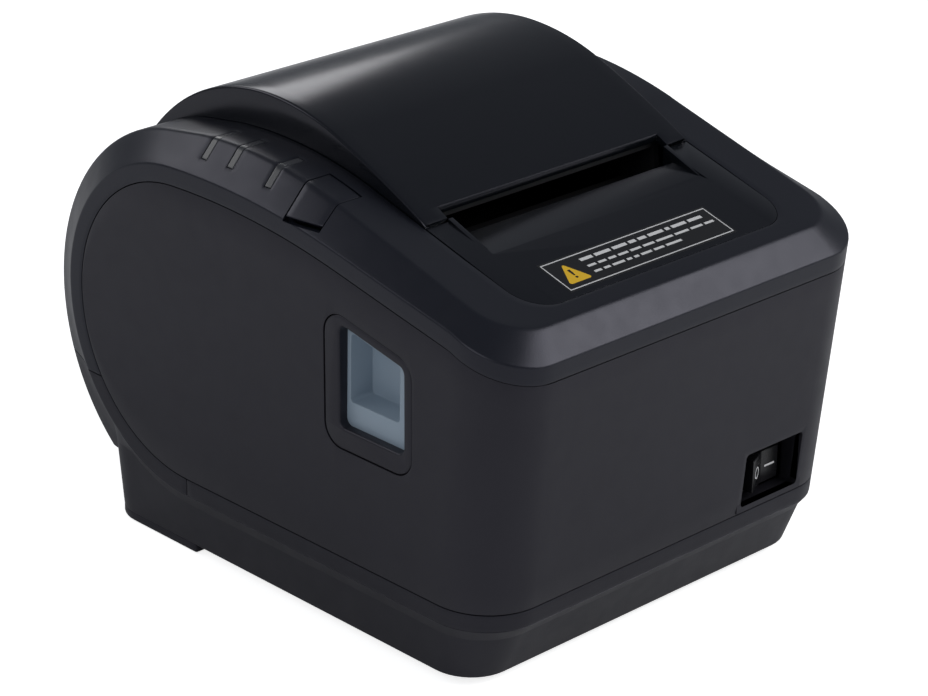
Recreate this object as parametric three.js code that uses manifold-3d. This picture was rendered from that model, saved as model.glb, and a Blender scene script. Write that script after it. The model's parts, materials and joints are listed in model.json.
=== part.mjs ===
// A desktop receipt printer for 80 mm paper rolls, in millimetres.
// +X is the right-hand side seen from the front, the front faces -Y and +Z is up.
// The origin is the middle of the footprint on the table.
import * as THREE from "three";
import { mergeVertices } from "three/addons/utils/BufferGeometryUtils.js";
import Module from "manifold-3d";

const wasm = await Module();
wasm.setup();

// ---------- driving dimensions ----------
const HALF_WIDTH = 72.5; // at the lower seam
const SIDE_DRAFT = 0.019; // the sides widen upwards by this much per mm
const FRONT_Y = -90; // front face at the lower seam
const FRONT_LEAN = 0.084; // the front face leans forward by this much per mm of height
const CORNER_R = 18.2; // upright front corners
const WALL = 2.4; // moulded wall thickness
const SEAM = 0.3; // gap between neighbouring casing parts

const LOWER_SEAM_Z = 25.6;
const RIM = 5.4; // width of the plain band that frames the casing panel
const BAND_Z = LOWER_SEAM_Z - RIM;
const SKIRT_Z = 2; // underside of the base
const FLOOR_Z = 4.5; // top of the base's floor
const REAR_SPLIT_Z = 45.7; // base and top shell meet here at the back

const FRONT_SEAM = { y: -95.7, z: 93.8 };
const SEAM_BEND = { y: -75, z: 101.4 }; // the upper seam is steeper in front of this point
const SEAM_SLOPE = 0.21;
const SEAM_ARC = { y: 21, z: -142.1, r: 258 };
const PANEL_ROUND = { y: 32.5, z: 70.6, r: 45 }; // round rear end of the side panel

const DECK_HALF = 66; // half width of the deck at its side creases
const DECK_FRONT = { y: -90, z: 106.8 };
const DECK_CORNER_R = 14;
const DECK_SLOPE = 0.277;
const DECK_ARC = { y: 16, z: -19.4, r: 150 };
const DRUM = { y: 34.17, z: 66.7, r: 62 }; // round back of the printer

const LID_HALF = 51.7;
const LID_FRONT_Y = -43.2;
const LID_ARCS = {
  slope: { y: 96.6, z: -144.7, r: 300 },
  crown: { y: 19.5, z: 61.4, r: 80 },
  back: { y: 19.5, z: 75.4, r: 66 },
};
const LID_WALL = 2;
const SLOT = { half: 43.5, lidY: -39.2 }; // the lid's notch for the paper slot
const HINGE = { y: 85.3, z: 91.7, barrelR: 5, earR: 5.6, pinR: 1.5, tailDeg: 62 };

const PLATEN = { y: -35.8, z: 94, r: 6, half: 40, shaftR: 2.5 };
const SIDE_PLATE = { inner: 41, thick: 1.2 };
const TOOTH = 0.8; // gear module
const TEETH = { platen: 20, idler: 30, motor: 12, rack: 14, cutter: 28, cutterMotor: 10 };
const GEAR_X = { near: -46.2, far: -49.2 };
const LATCH = { y: -46, z: 34, shaftR: 2, inner: 49.9, outer: 51.3 };

// ---------- small helpers ----------
const DEG = Math.PI / 180;

// A closed geometry as a solid that can be cut and joined.
function solid(geometry) {
  const bare = geometry.index ? geometry.toNonIndexed() : geometry.clone();
  bare.deleteAttribute("normal");
  bare.deleteAttribute("uv");
  const merged = mergeVertices(bare, 1e-4);
  return new wasm.Manifold(
    new wasm.Mesh({
      numProp: 3,
      vertProperties: new Float32Array(merged.attributes.position.array),
      triVerts: new Uint32Array(merged.index.array),
    }),
  );
}

function geometryOf(made) {
  const mesh = made.getMesh();
  const geometry = new THREE.BufferGeometry();
  geometry.setAttribute("position", new THREE.BufferAttribute(mesh.vertProperties, 3));
  geometry.setIndex(new THREE.BufferAttribute(mesh.triVerts, 1));
  geometry.computeVertexNormals();
  return geometry;
}

const joined = (...solids) => solids.reduce((all, one) => all.add(one));

const cutFrom = (body, ...tools) => tools.reduce((left, tool) => left.subtract(tool), body);

function box(x0, x1, y0, y1, z0, z1) {
  const geometry = new THREE.BoxGeometry(x1 - x0, y1 - y0, z1 - z0);
  geometry.translate((x0 + x1) / 2, (y0 + y1) / 2, (z0 + z1) / 2);
  return solid(geometry);
}

const toShape = (points) => new THREE.Shape(points.map(([u, v]) => new THREE.Vector2(u, v)));

function extruded(points, depth) {
  return new THREE.ExtrudeGeometry(toShape(points), { depth, bevelEnabled: false });
}

// A prism along X from an outline of (y, z) points.
function prismX(points, x0, x1) {
  const geometry = extruded(points, x1 - x0);
  const turn = new THREE.Matrix4().makeBasis(
    new THREE.Vector3(0, 1, 0),
    new THREE.Vector3(0, 0, 1),
    new THREE.Vector3(1, 0, 0),
  );
  geometry.applyMatrix4(turn);
  geometry.translate(x0, 0, 0);
  return solid(geometry);
}

// A prism along Z from an outline of (x, y) points.
function prismZ(points, z0, z1) {
  const geometry = extruded(points, z1 - z0);
  geometry.translate(0, 0, z0);
  return solid(geometry);
}

function cylinderZ(x, y, r, z0, z1, sides = 24) {
  const geometry = new THREE.CylinderGeometry(r, r, z1 - z0, sides);
  geometry.rotateX(90 * DEG);
  geometry.translate(x, y, (z0 + z1) / 2);
  return solid(geometry);
}

function cylinderX(y, z, r, x0, x1, sides = 24) {
  const geometry = new THREE.CylinderGeometry(r, r, x1 - x0, sides);
  geometry.rotateZ(90 * DEG);
  geometry.translate((x0 + x1) / 2, y, z);
  return solid(geometry);
}

// Points of a circle in the side view; angles run from straight up towards the back.
function arc(circle, fromDeg, toDeg, steps, shrink = 0) {
  const points = [];
  for (let i = 0; i <= steps; i += 1) {
    const a = (fromDeg + ((toDeg - fromDeg) * i) / steps) * DEG;
    const r = circle.r - shrink;
    points.push([circle.y + r * Math.sin(a), circle.z + r * Math.cos(a)]);
  }
  return points;
}

// The angle at which a circle of the side view passes through a given y on its upper half.
const angleAt = (circle, y) => Math.asin((y - circle.y) / circle.r) / DEG;

// An outline with every corner rounded; each corner is [u, v, radius].
function roundedOutline(corners, steps = 5) {
  const points = [];
  corners.forEach(([u, v, r], i) => {
    const before = corners[(i + corners.length - 1) % corners.length];
    const after = corners[(i + 1) % corners.length];
    const inward = new THREE.Vector2(before[0] - u, before[1] - v).normalize();
    const onward = new THREE.Vector2(after[0] - u, after[1] - v).normalize();
    if (!r) {
      points.push([u, v]);
      return;
    }
    const half = Math.acos(THREE.MathUtils.clamp(inward.dot(onward), -1, 1)) / 2;
    const reach = r / Math.tan(half);
    const middle = inward.clone().add(onward).normalize().multiplyScalar(r / Math.sin(half));
    const centre = new THREE.Vector2(u, v).add(middle);
    const start = new THREE.Vector2(u, v).addScaledVector(inward, reach).sub(centre);
    const end = new THREE.Vector2(u, v).addScaledVector(onward, reach).sub(centre);
    let sweep = end.angle() - start.angle();
    if (sweep > Math.PI) sweep -= 2 * Math.PI;
    if (sweep < -Math.PI) sweep += 2 * Math.PI;
    for (let k = 0; k <= steps; k += 1) {
      const a = start.angle() + (sweep * k) / steps;
      points.push([centre.x + r * Math.cos(a), centre.y + r * Math.sin(a)]);
    }
  });
  return points;
}

// Joins equal-length rings of 3-D points into a closed solid with flat ends.
function loft(rings) {
  const count = rings[0].length;
  const flat = rings.flat();
  const triangles = [];
  for (let i = 0; i + 1 < rings.length; i += 1) {
    for (let k = 0; k < count; k += 1) {
      const a = i * count + k;
      const b = i * count + ((k + 1) % count);
      triangles.push(a, b, b + count, a, b + count, a + count);
    }
  }
  const last = (rings.length - 1) * count;
  for (let k = 1; k + 1 < count; k += 1) {
    triangles.push(0, k + 1, k);
    triangles.push(last, last + k, last + k + 1);
  }
  const geometry = new THREE.BufferGeometry();
  geometry.setAttribute("position", new THREE.Float32BufferAttribute(flat.flat(), 3));
  geometry.setIndex(triangles);
  return solid(geometry);
}

// ---------- the casing's outer form ----------
const halfWidthAt = (z) => HALF_WIDTH + SIDE_DRAFT * (z - LOWER_SEAM_Z);
const frontAt = (z) => FRONT_Y - FRONT_LEAN * (z - LOWER_SEAM_Z);

// A level rounded rectangle, listed anticlockwise seen from above.
function planRing(half, y0, y1, frontR, rearR, z) {
  const outline = roundedOutline(
    [
      [-half, y0, frontR],
      [half, y0, frontR],
      [half, y1, rearR],
      [-half, y1, rearR],
    ],
    6,
  );
  return outline.map(([x, y]) => [x, y, z]);
}

// The upright walls, leaning and drafted, set in by a distance.
function walls(inset) {
  const rings = [0, 150].map((z) =>
    planRing(halfWidthAt(z) - inset, frontAt(z) + inset, 110, CORNER_R - inset, 2, z),
  );
  return loft(rings);
}

// Height of the deck over its straight and gently curved stretch.
const DECK_BEND_Y = DECK_ARC.y - DECK_ARC.r * Math.sin(Math.atan(DECK_SLOPE));
const DRUM_START_DEG = Math.atan2(DRUM.y - DECK_ARC.y, DRUM.z - DECK_ARC.z) / DEG;
const DRUM_START_Y = DRUM.y + DRUM.r * Math.sin(DRUM_START_DEG * DEG);
function deckHeight(y) {
  if (y < DECK_BEND_Y) return DECK_FRONT.z + DECK_SLOPE * (y - DECK_FRONT.y);
  if (y < DRUM_START_Y) return DECK_ARC.z + Math.sqrt(DECK_ARC.r ** 2 - (y - DECK_ARC.y) ** 2);
  return DRUM.z + Math.sqrt(DRUM.r ** 2 - (y - DRUM.y) ** 2);
}

// Height of the upper seam in front of the round end of the side panel.
const SEAM_TANGENT_Y = SEAM_ARC.y - SEAM_ARC.r * Math.sin(Math.atan(SEAM_SLOPE));
const ROUND_START_DEG = Math.atan2(PANEL_ROUND.y - SEAM_ARC.y, PANEL_ROUND.z - SEAM_ARC.z) / DEG;
const ROUND_START_Y = PANEL_ROUND.y + PANEL_ROUND.r * Math.sin(ROUND_START_DEG * DEG);
function seamHeight(y) {
  if (y < FRONT_SEAM.y) return FRONT_SEAM.z;
  if (y < SEAM_BEND.y) {
    const slope = (SEAM_BEND.z - FRONT_SEAM.z) / (SEAM_BEND.y - FRONT_SEAM.y);
    return FRONT_SEAM.z + slope * (y - FRONT_SEAM.y);
  }
  if (y < SEAM_TANGENT_Y) return SEAM_BEND.z + SEAM_SLOPE * (y - SEAM_BEND.y);
  return SEAM_ARC.z + Math.sqrt(SEAM_ARC.r ** 2 - (y - SEAM_ARC.y) ** 2);
}

// Stations along the left side of the deck: the deck's crease, the rim below the chamfer,
// the outward direction and the deck's normal.
function sideStations() {
  const stations = [];
  const rimFrontY = frontAt(FRONT_SEAM.z + RIM);
  for (let i = 0; i <= 6; i += 1) {
    const a = (270 - 15 * i) * DEG;
    const c = Math.cos(a);
    const s = Math.sin(a);
    const y = DECK_FRONT.y + DECK_CORNER_R * (1 + s);
    const rimY = rimFrontY + CORNER_R * (1 + s);
    const rimZ = seamHeight(rimY) + RIM;
    stations.push({
      crease: [-DECK_HALF + DECK_CORNER_R * (1 + c), y, deckHeight(y)],
      rim: [-halfWidthAt(rimZ) + CORNER_R * (1 + c), rimY, rimZ],
      out: [c, s, 0],
      up: [0, -Math.sin(Math.atan(DECK_SLOPE)), Math.cos(Math.atan(DECK_SLOPE))],
    });
  }
  const railYs = [-58, -40, DECK_BEND_Y, -12, 0, 12, 24, 35];
  for (const y of railYs) {
    const rimZ = seamHeight(y) + RIM;
    const tilt = Math.atan2(DECK_SLOPE, 1);
    const lean = y < DECK_BEND_Y ? -tilt : Math.asin((y - DECK_ARC.y) / DECK_ARC.r);
    stations.push({
      crease: [-DECK_HALF, y, deckHeight(y)],
      rim: [-halfWidthAt(rimZ), y, rimZ],
      out: [-1, 0, 0],
      up: [0, Math.sin(lean), Math.cos(lean)],
    });
  }
  // Round the back: the crease stops where it meets the base's skirt, the rim runs on below.
  const creaseEnd = 180 - Math.acos((DRUM.z - BAND_Z) / DRUM.r) / DEG;
  const steps = 16;
  for (let i = 0; i <= steps; i += 1) {
    const t = i / steps;
    const a = (DRUM_START_DEG + (creaseEnd - DRUM_START_DEG) * t) * DEG;
    const b = (ROUND_START_DEG + (180 - ROUND_START_DEG) * t) * DEG;
    const rimR = PANEL_ROUND.r + RIM;
    const rimZ = PANEL_ROUND.z + rimR * Math.cos(b);
    stations.push({
      crease: [-DECK_HALF, DRUM.y + DRUM.r * Math.sin(a), DRUM.z + DRUM.r * Math.cos(a)],
      rim: [-halfWidthAt(rimZ), PANEL_ROUND.y + rimR * Math.sin(b), rimZ],
      out: [-1, 0, 0],
      up: [0, Math.sin(a), Math.cos(a)],
    });
  }
  return stations;
}

const CREASE_SHIFT = 0.41; // sideways move of the crease per mm of inset
const RIM_REACH = 0.25; // how far the chamfer runs on past the rim before the walls trim it
const CORE_DEPTH = 3;

// Everything under the deck, the chamfers and the round back, set in by a distance.
function underDeck(inset) {
  const rings = [];
  const coreSide = [];
  for (const { crease, rim, out, up } of sideStations()) {
    const moved = crease.map((v, k) => v - inset * (CREASE_SHIFT * out[k] + up[k]));
    const edge = moved.map((v, k) => v + (1 + RIM_REACH) * (rim[k] - crease[k]));
    const deep = edge.map((v, k) => v - CORE_DEPTH * up[k]);
    rings.push([
      deep,
      edge,
      moved,
      [-moved[0], moved[1], moved[2]],
      [-edge[0], edge[1], edge[2]],
      [-deep[0], deep[1], deep[2]],
    ]);
    coreSide.push([edge[1], edge[2]]);
  }
  const skin = loft(rings);
  const bottom = BAND_Z - 8;
  const rearY = coreSide[coreSide.length - 1][0];
  const frontZ = coreSide[0][1];
  const coreView = [[-110, bottom], [rearY, bottom], ...coreSide.reverse(), [-110, frontZ]];
  return { skin, core: prismX(coreView, -80, 80) };
}

function hull(inset) {
  const { skin, core } = underDeck(inset);
  const floor = box(-90, 90, -120, 120, BAND_Z + (inset ? -20 : 0), 160);
  return skin.add(core).intersect(walls(inset)).intersect(floor);
}

// The side view of the casing panel: front face and both round-ended sides.
function panelRegion(gap) {
  const rounding = { ...PANEL_ROUND, r: PANEL_ROUND.r - gap };
  const upper = [FRONT_SEAM.y, SEAM_BEND.y, SEAM_TANGENT_Y, -14, 4, 20].map((y) => [
    y,
    seamHeight(y) - gap,
  ]);
  return [
    [-115, LOWER_SEAM_Z + gap],
    [-115, FRONT_SEAM.z - gap],
    ...upper,
    ...arc(rounding, ROUND_START_DEG, 180, 22),
  ].reverse();
}

// ---------- materials and the parts list ----------
const SIDES = [
  ["left", -1],
  ["right", 1],
];
const FINISH = {
  casing: { color: 0x2c2a30, roughness: 0.5, metalness: 0 },
  shell: { color: 0x1d1e26, roughness: 0.42, metalness: 0 },
  gloss: { color: 0x101216, roughness: 0.12, metalness: 0 },
  lever: { color: 0x9aa8b4, roughness: 0.4, metalness: 0 },
  dark: { color: 0x16171a, roughness: 0.5, metalness: 0 },
  label: { color: 0x0c0c0d, roughness: 0.35, metalness: 0 },
  rubber: { color: 0x151515, roughness: 0.9, metalness: 0 },
  steel: { color: 0xb9bcc0, roughness: 0.3, metalness: 1 },
  zinc: { color: 0x9fa3a6, roughness: 0.35, metalness: 1 },
  aluminium: { color: 0xc6c8ca, roughness: 0.35, metalness: 1 },
  ceramic: { color: 0xd9d6cc, roughness: 0.3, metalness: 0 },
  board: { color: 0x1c5a34, roughness: 0.45, metalness: 0 },
  nylon: { color: 0xe4e2d8, roughness: 0.5, metalness: 0 },
  clear: { color: 0x8f9aa2, roughness: 0.15, metalness: 0 },
};

const printer = new THREE.Group();

// Adds one named piece to a group.
function piece(name, made, finish, group = printer) {
  const mesh = new THREE.Mesh(geometryOf(made), new THREE.MeshStandardMaterial(FINISH[finish]));
  mesh.name = name;
  group.add(mesh);
  return mesh;
}

// The lower and the higher of two distances from the middle, on the given side.
const ends = (side, near, far) => [side * near, side * far].sort((a, b) => a - b);

const sideBox = (side, near, far, ...rest) => box(...ends(side, near, far), ...rest);

const sidePrism = (side, points, near, far) => prismX(points, ...ends(side, near, far));

const WIDE = 90; // beyond the printer's half width
const LONG = 120; // beyond the printer's half depth
const TALL = 160; // beyond its height

const outerHull = hull(0);
const innerHull = hull(WALL);
const casingWall = outerHull.subtract(innerHull);

// ---------- base tray ----------
const BASE = {
  rearTop: 75.2, // the rear wall leans in a little towards the table
  rearBottom: 73.5,
  sideIn: 3.5, // the sides and the front draw in this much towards the table
  frontIn: 8.8,
  ridgeDrop: 3.6, // a ridge runs round the skirt this far below the band
  ridgeSideIn: 1.7,
  ridgeFrontIn: 3,
  ridgeRearIn: 0.4,
  edge: 0.8, // chamfer round the underside
  edgeCorners: [12.4, 11.4], // radii of the front and rear upright corners, ring by ring
  lowCorners: [13, 12],
  ridgeCorners: [16, 13],
  topCorners: [CORNER_R, 14],
  overlap: 0.01, // how far the skirt reaches into the band above it
  climbYs: [32.5, 39, 45, 50, 55, 60], // the top edge climbs along the rim from here to the corner
  wallTop: 33, // the walls end inside the round back here
  backY: 20, // behind here the walls also rise above the band
};
// A low rail under each side at the back, from sideX out to the skirt.
const FOOT_RAIL = { z: 0.3, y0: 32, y1: 80, sideX: 56, thick: 4 };
const BOARD = { half: 43, y0: -18, y1: 66, z: 10, thick: 1.6 };
const BOARD_POSTS = [
  [-38, -13],
  [38, -13],
  [-38, 61],
  [38, 61],
];
const BUCKET_POST = { x: 48, y: 23, r: 3.5, top: 60, pilotDeep: 12 };
const FRAME_POST = { x: 36, y: -46, r: 4, pilotDeep: 9 };
const FRAME_Z = 16; // underside of the printing mechanism
const PILOT_R = 1.3; // holes for self-tapping screws
const CASE_SCREWS = { x: 60, frontY: -66, rearY: 52 };
const CASE_POST = { r: 4.4, top: 12, sinkR: 3.2, sinkTop: 6, holeR: 1.7 };
const SOCKETS = { back: 71, deep: 21, z: 11.7, windowY: 66, gap: 0.6, rim: 1.4 };
const PORTS = [
  { name: "power_socket", x: -34, half: 7, top: 25, finish: "dark" },
  { name: "usb_socket", x: -14, half: 6.2, top: 22.6, finish: "zinc" },
  { name: "lan_socket", x: 32, half: 8, top: 25, finish: "zinc" },
];
const casePosts = [
  ["front_left", -CASE_SCREWS.x, CASE_SCREWS.frontY],
  ["front_right", CASE_SCREWS.x, CASE_SCREWS.frontY],
  ["rear_left", -CASE_SCREWS.x, CASE_SCREWS.rearY],
  ["rear_right", CASE_SCREWS.x, CASE_SCREWS.rearY],
];

// Height of the rim's lower edge: level along the side, then round the back.
function underRim(y) {
  if (y <= PANEL_ROUND.y) return BAND_Z;
  return PANEL_ROUND.z - Math.sqrt((PANEL_ROUND.r + RIM) ** 2 - (y - PANEL_ROUND.y) ** 2);
}

// One ring round the skirt; its height can follow the rim at the sides.
function skirtRing(half, front, rear, frontR, rearR, heightAt) {
  const climb = BASE.climbYs;
  const outline = roundedOutline(
    [
      [-half, front, frontR],
      [half, front, frontR],
      ...climb.map((y) => [half, y, 0]),
      [half, rear, rearR],
      [-half, rear, rearR],
      ...climb.map((y) => [-half, y, 0]).reverse(),
    ],
    6,
  );
  return outline.map(([x, y]) => [x, y, heightAt(Math.min(y, climb[climb.length - 1]))]);
}

// The skirt below the band: a ridge, then sides that draw in towards the table.
function skirt(inset, bottomZ) {
  const front = frontAt(BAND_Z) + inset;
  const half = halfWidthAt(BAND_Z) - inset;
  const { edge, sideIn, frontIn, ridgeSideIn, ridgeFrontIn, rearTop, rearBottom } = BASE;
  const ridgeRear = rearTop - BASE.ridgeRearIn;
  const levels = [
    [() => bottomZ, sideIn + edge, frontIn + edge, rearBottom - edge, BASE.edgeCorners],
    [() => bottomZ + edge, sideIn, frontIn, rearBottom, BASE.lowCorners],
    [(y) => underRim(y) - BASE.ridgeDrop, ridgeSideIn, ridgeFrontIn, ridgeRear, BASE.ridgeCorners],
    [(y) => underRim(y) + BASE.overlap, 0, 0, rearTop, BASE.topCorners],
    [() => BASE.wallTop, 0, 0, rearTop, BASE.topCorners],
  ];
  return loft(
    levels.map(([heightAt, inX, inY, rear, [frontR, rearR]]) =>
      skirtRing(half - inX, front + inY, rear - inset, frontR - inset, rearR - inset, heightAt),
    ),
  );
}

// Side view of everything the skirt may fill: below the band, and below the rim at the back.
function underRimView() {
  const rim = { ...PANEL_ROUND, r: PANEL_ROUND.r + RIM };
  const high = BAND_Z + BASE.overlap;
  const downwards = 180;
  const halfwayRound = 130;
  const steps = 12;
  const climb = arc(rim, downwards, halfwayRound, steps).map(([y, z]) => [y, z + BASE.overlap]);
  const lastY = climb[steps][0];
  return [[-LONG, -1], [LONG, -1], [LONG, TALL], [lastY, TALL], ...climb.reverse(), [-LONG, high]];
}

function baseTray() {
  const halfGap = SEAM / 2;
  const rear = box(-WIDE, WIDE, 0, LONG, BAND_Z, REAR_SPLIT_Z - halfGap);
  const band = box(-WIDE, WIDE, -LONG, 60, BAND_Z, LOWER_SEAM_Z - halfGap);
  const panel = prismX(panelRegion(-halfGap), -WIDE, WIDE);
  const upper = casingWall.subtract(panel).intersect(rear.add(band));
  const { y0, y1, z: railZ, sideX, thick } = FOOT_RAIL;
  const railRing = skirt(0, railZ).subtract(skirt(thick, railZ));
  const rail = box(-WIDE, WIDE, y0, y1, railZ, SKIRT_Z + 1)
    .subtract(box(-sideX, sideX, 0, LONG, -1, SKIRT_Z + 2))
    .intersect(railRing);
  const skirtView = prismX(underRimView(), -WIDE, WIDE);
  const tub = skirt(0, SKIRT_Z).intersect(skirtView);
  const tubView = skirtView.add(box(-WIDE, WIDE, BASE.backY, LONG, 0, TALL));
  const hollow = skirt(WALL, FLOOR_Z - 1)
    .intersect(box(-WIDE, WIDE, -LONG, LONG, FLOOR_Z, TALL))
    .intersect(tubView);
  const inside = innerHull.intersect(box(-WIDE, WIDE, BASE.backY, LONG, BAND_Z + 1, TALL));
  // Clears the way from the tub up into the casing, in two steps round the rear corners.
  const throughTop = BAND_Z + 5;
  const through = joined(
    box(-65, 65, -78, 58, BAND_Z - 2, throughTop),
    box(-45, 45, 50, 67, BAND_Z - 2, throughTop),
  );
  let tray = cutFrom(tub.add(upper), hollow, through, inside).add(rail);
  for (const [x, y] of BOARD_POSTS) {
    tray = tray.add(cylinderZ(x, y, 3, FLOOR_Z - 1, BOARD.z - 0.1));
  }
  for (const [, side] of SIDES) {
    const { x, y, r, top, pilotDeep } = BUCKET_POST;
    tray = tray.add(cylinderZ(side * x, y, r, FLOOR_Z - 1, top - 0.2));
    tray = tray.subtract(cylinderZ(side * x, y, PILOT_R, top - pilotDeep, top + 1, 16));
    const { x: frameX, y: frameY, r: frameR, pilotDeep: frameDeep } = FRAME_POST;
    tray = tray.add(cylinderZ(side * frameX, frameY, frameR, FLOOR_Z - 1, FRAME_Z - 0.1));
    tray = tray.subtract(cylinderZ(side * frameX, frameY, PILOT_R, FRAME_Z - frameDeep, FRAME_Z, 16));
  }
  for (const [, x, y] of casePosts) {
    const { r, top, sinkR, sinkTop, holeR } = CASE_POST;
    const sink = cylinderZ(x, y, sinkR, -1, sinkTop, 20);
    tray = tray.add(cylinderZ(x, y, r, FLOOR_Z - 1, top));
    tray = cutFrom(tray, sink, cylinderZ(x, y, holeR, -1, BAND_Z, 16));
  }
  const { windowY, gap, z } = SOCKETS;
  for (const { x, half, top } of PORTS) {
    tray = tray.subtract(box(x - half - gap, x + half + gap, windowY, LONG, z - gap, top + gap));
  }
  return tray;
}
piece("base_tray", baseTray(), "casing");

const RUBBER_FOOT = { r: 6.5, x: 55, frontY: -52, rearY: 38 };
for (const [where, side] of SIDES) {
  for (const end of ["front", "rear"]) {
    const foot = piece(`foot_${end}_${where}`, cylinderZ(0, 0, RUBBER_FOOT.r, 0, SKIRT_Z, 28), "rubber");
    foot.position.set(side * RUBBER_FOOT.x, RUBBER_FOOT[`${end}Y`], 0);
  }
}

// A pan-head screw along Z whose head rests on z = 0.
function screw(shankR, headR, length, headTall) {
  return joined(cylinderZ(0, 0, headR, 0, headTall, 20), cylinderZ(0, 0, shankR, -length, 0.2, 14));
}

const caseScrew = screw(1.5, 2.9, 8, 2.4).rotate([180, 0, 0]);
for (const [where, x, y] of casePosts) {
  piece(`case_screw_${where}`, caseScrew, "zinc").position.set(x, y, 5.8);
}

// ---------- casing panel: the front face and both sides in one moulding ----------
const BEZEL = { rear: -27.5, front: -61.6, bottom: 58.8, top: 99.7, r: 6.5 };
const LEVER_HOLE = { rear: -33.4, front: -58.4, bottom: 65.2, top: 95.6, r: 2.2 };
const SWITCH = { x0: 28.8, x1: 53.2, z0: 27.6, z1: 44.5 };
const HOOD = { wall: 1.6, back: -84 }; // the walls that surround the switch window

// A frame outline in the side view whose top edge follows the seam's slope.
function slopedOutline(frame, grow) {
  const fall = SEAM_SLOPE * (frame.rear - frame.front);
  const r = frame.r + grow;
  return roundedOutline(
    [
      [frame.front - grow, frame.bottom - grow, r],
      [frame.rear + grow, frame.bottom - grow, r],
      [frame.rear + grow, frame.top + grow, r],
      [frame.front - grow, frame.top - fall + grow, r],
    ],
    4,
  );
}

function bodyShell() {
  const { x0, x1, z0, z1 } = SWITCH;
  const region = prismX(panelRegion(SEAM / 2), -WIDE, WIDE);
  const seat = prismX(slopedOutline(BEZEL, 0.2), -WIDE, -60);
  const hood = box(
    x0 - HOOD.wall,
    x1 + HOOD.wall,
    frontAt((z0 + z1) / 2) + 0.6,
    HOOD.back,
    z0 - HOOD.wall,
    z1 + HOOD.wall,
  );
  let shell = casingWall.intersect(region).add(hood.intersect(outerHull).intersect(region));
  shell = cutFrom(shell, seat, box(x0, x1, -100, -80, z0, z1));
  const bossTop = 44;
  const bossZ = LOWER_SEAM_Z + 0.4;
  for (const [, side] of SIDES) {
    const { x, frontY } = CASE_SCREWS;
    const boss = cylinderZ(side * x, frontY, 3.6, bossZ, bossTop, 18);
    const web = sideBox(side, x, 71.5, frontY - 1, frontY + 1, bossZ, bossTop);
    shell = shell.add(boss.add(web).intersect(outerHull));
  }
  return shell;
}
piece("body_shell", bodyShell(), "casing");

const bezelBlock = prismX(slopedOutline(BEZEL, 0), -WIDE, -60);
const leverHole = prismX(slopedOutline(LEVER_HOLE, 0), -WIDE, -50);
piece("lever_bezel", casingWall.intersect(bezelBlock).subtract(leverHole), "casing");

// ---------- top shell ----------
const COVER = { half: 51.5, front: -84, rear: -43.5, r: 10.5 };
const OPENING_HALF = 52; // half width of the opening for the lid
const FLANGE = { inner: 52.3, outer: 54.3, deep: 9, bottom: 84 };
const BUTTON = { y0: -24.3, y1: -12, inner: -57.6, drop: 5, gap: 0.15, travelGap: 0.6 };
const PIPES = [
  { name: "status_light_rear", y: 24.9 },
  { name: "status_light_middle", y: 14.3 },
  { name: "status_light_front", y: -1.5 },
];
const PIPE = { half: 1.2, inner: -58.4, drop: 5, gap: 0.15 };
const UNDER_DECK = 60; // a level well below the deck

// The side view of the space that the lid closes, which ends at the lid's tail.
function lidRegion() {
  const tail = HINGE.tailDeg + 1;
  const onDrum = (deg, r) => [DRUM.y + r * Math.sin(deg * DEG), DRUM.z + r * Math.cos(deg * DEG)];
  return [
    [LID_FRONT_Y - SEAM, UNDER_DECK],
    [LID_FRONT_Y - SEAM, TALL],
    onDrum(20, 110),
    onDrum(tail, 110),
    onDrum(tail, 50),
  ];
}

function coverOutline(grow) {
  const half = COVER.half + grow;
  return roundedOutline(
    [
      [-half, COVER.front - grow, COVER.r + grow],
      [half, COVER.front - grow, COVER.r + grow],
      [half, COVER.rear + 1, 0],
      [-half, COVER.rear + 1, 0],
    ],
    6,
  );
}

// A slice across the left crease of the deck that reaches some way down the chamfer.
function creaseSlice(y0, y1, inner, drop, grow) {
  const low = Math.min(deckHeight(y0), deckHeight(y1)) - drop;
  return box(-80, inner + grow, y0 - grow, y1 + grow, low - grow, TALL);
}

function topShell() {
  const panel = prismX(panelRegion(-SEAM / 2), -WIDE, WIDE);
  const below = box(-WIDE, WIDE, -LONG, LONG, 0, REAR_SPLIT_Z + SEAM / 2);
  const lidHole = prismX(lidRegion(), -OPENING_HALF, OPENING_HALF);
  const coverHole = prismZ(coverOutline(SEAM), UNDER_DECK, TALL);
  let shell = cutFrom(casingWall, panel, below, lidHole, coverHole);
  const edge = outerHull.subtract(hull(FLANGE.deep));
  for (const [, side] of SIDES) {
    const flange = edge.intersect(sideBox(side, FLANGE.inner, FLANGE.outer, -76, LONG, FLANGE.bottom, TALL));
    const ear = cylinderX(HINGE.y, HINGE.z, HINGE.earR, ...ends(side, FLANGE.inner, FLANGE.outer));
    shell = joined(shell, flange, ear.intersect(outerHull));
  }
  const barrelRoom = cylinderX(HINGE.y, HINGE.z, HINGE.barrelR + 1.5, -OPENING_HALF, OPENING_HALF, 32);
  const pinBore = cylinderX(HINGE.y, HINGE.z, HINGE.pinR + 0.05, -60, 60, 20);
  shell = cutFrom(shell, barrelRoom, pinBore);
  for (const { y } of PIPES) {
    shell = shell.subtract(creaseSlice(y - PIPE.half, y + PIPE.half, PIPE.inner, PIPE.drop, PIPE.gap));
  }
  const { y0, y1, inner, drop, gap, travelGap } = BUTTON;
  const low = deckHeight(y0) - drop - travelGap;
  return shell.subtract(box(-80, inner + 0.4, y0 - gap, y1 + gap, low, TALL));
}
piece("top_shell", topShell(), "shell");

// The small board under the lights and the button.
const KEY_BOARD = { x0: -66, x1: -56.5, y0: -30, y1: 30, z: 114, thick: 1.2, contact: 3.2 };
const keyBoardTop = KEY_BOARD.z + KEY_BOARD.thick;
const buttonMiddle = (BUTTON.y0 + BUTTON.y1) / 2;

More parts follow.
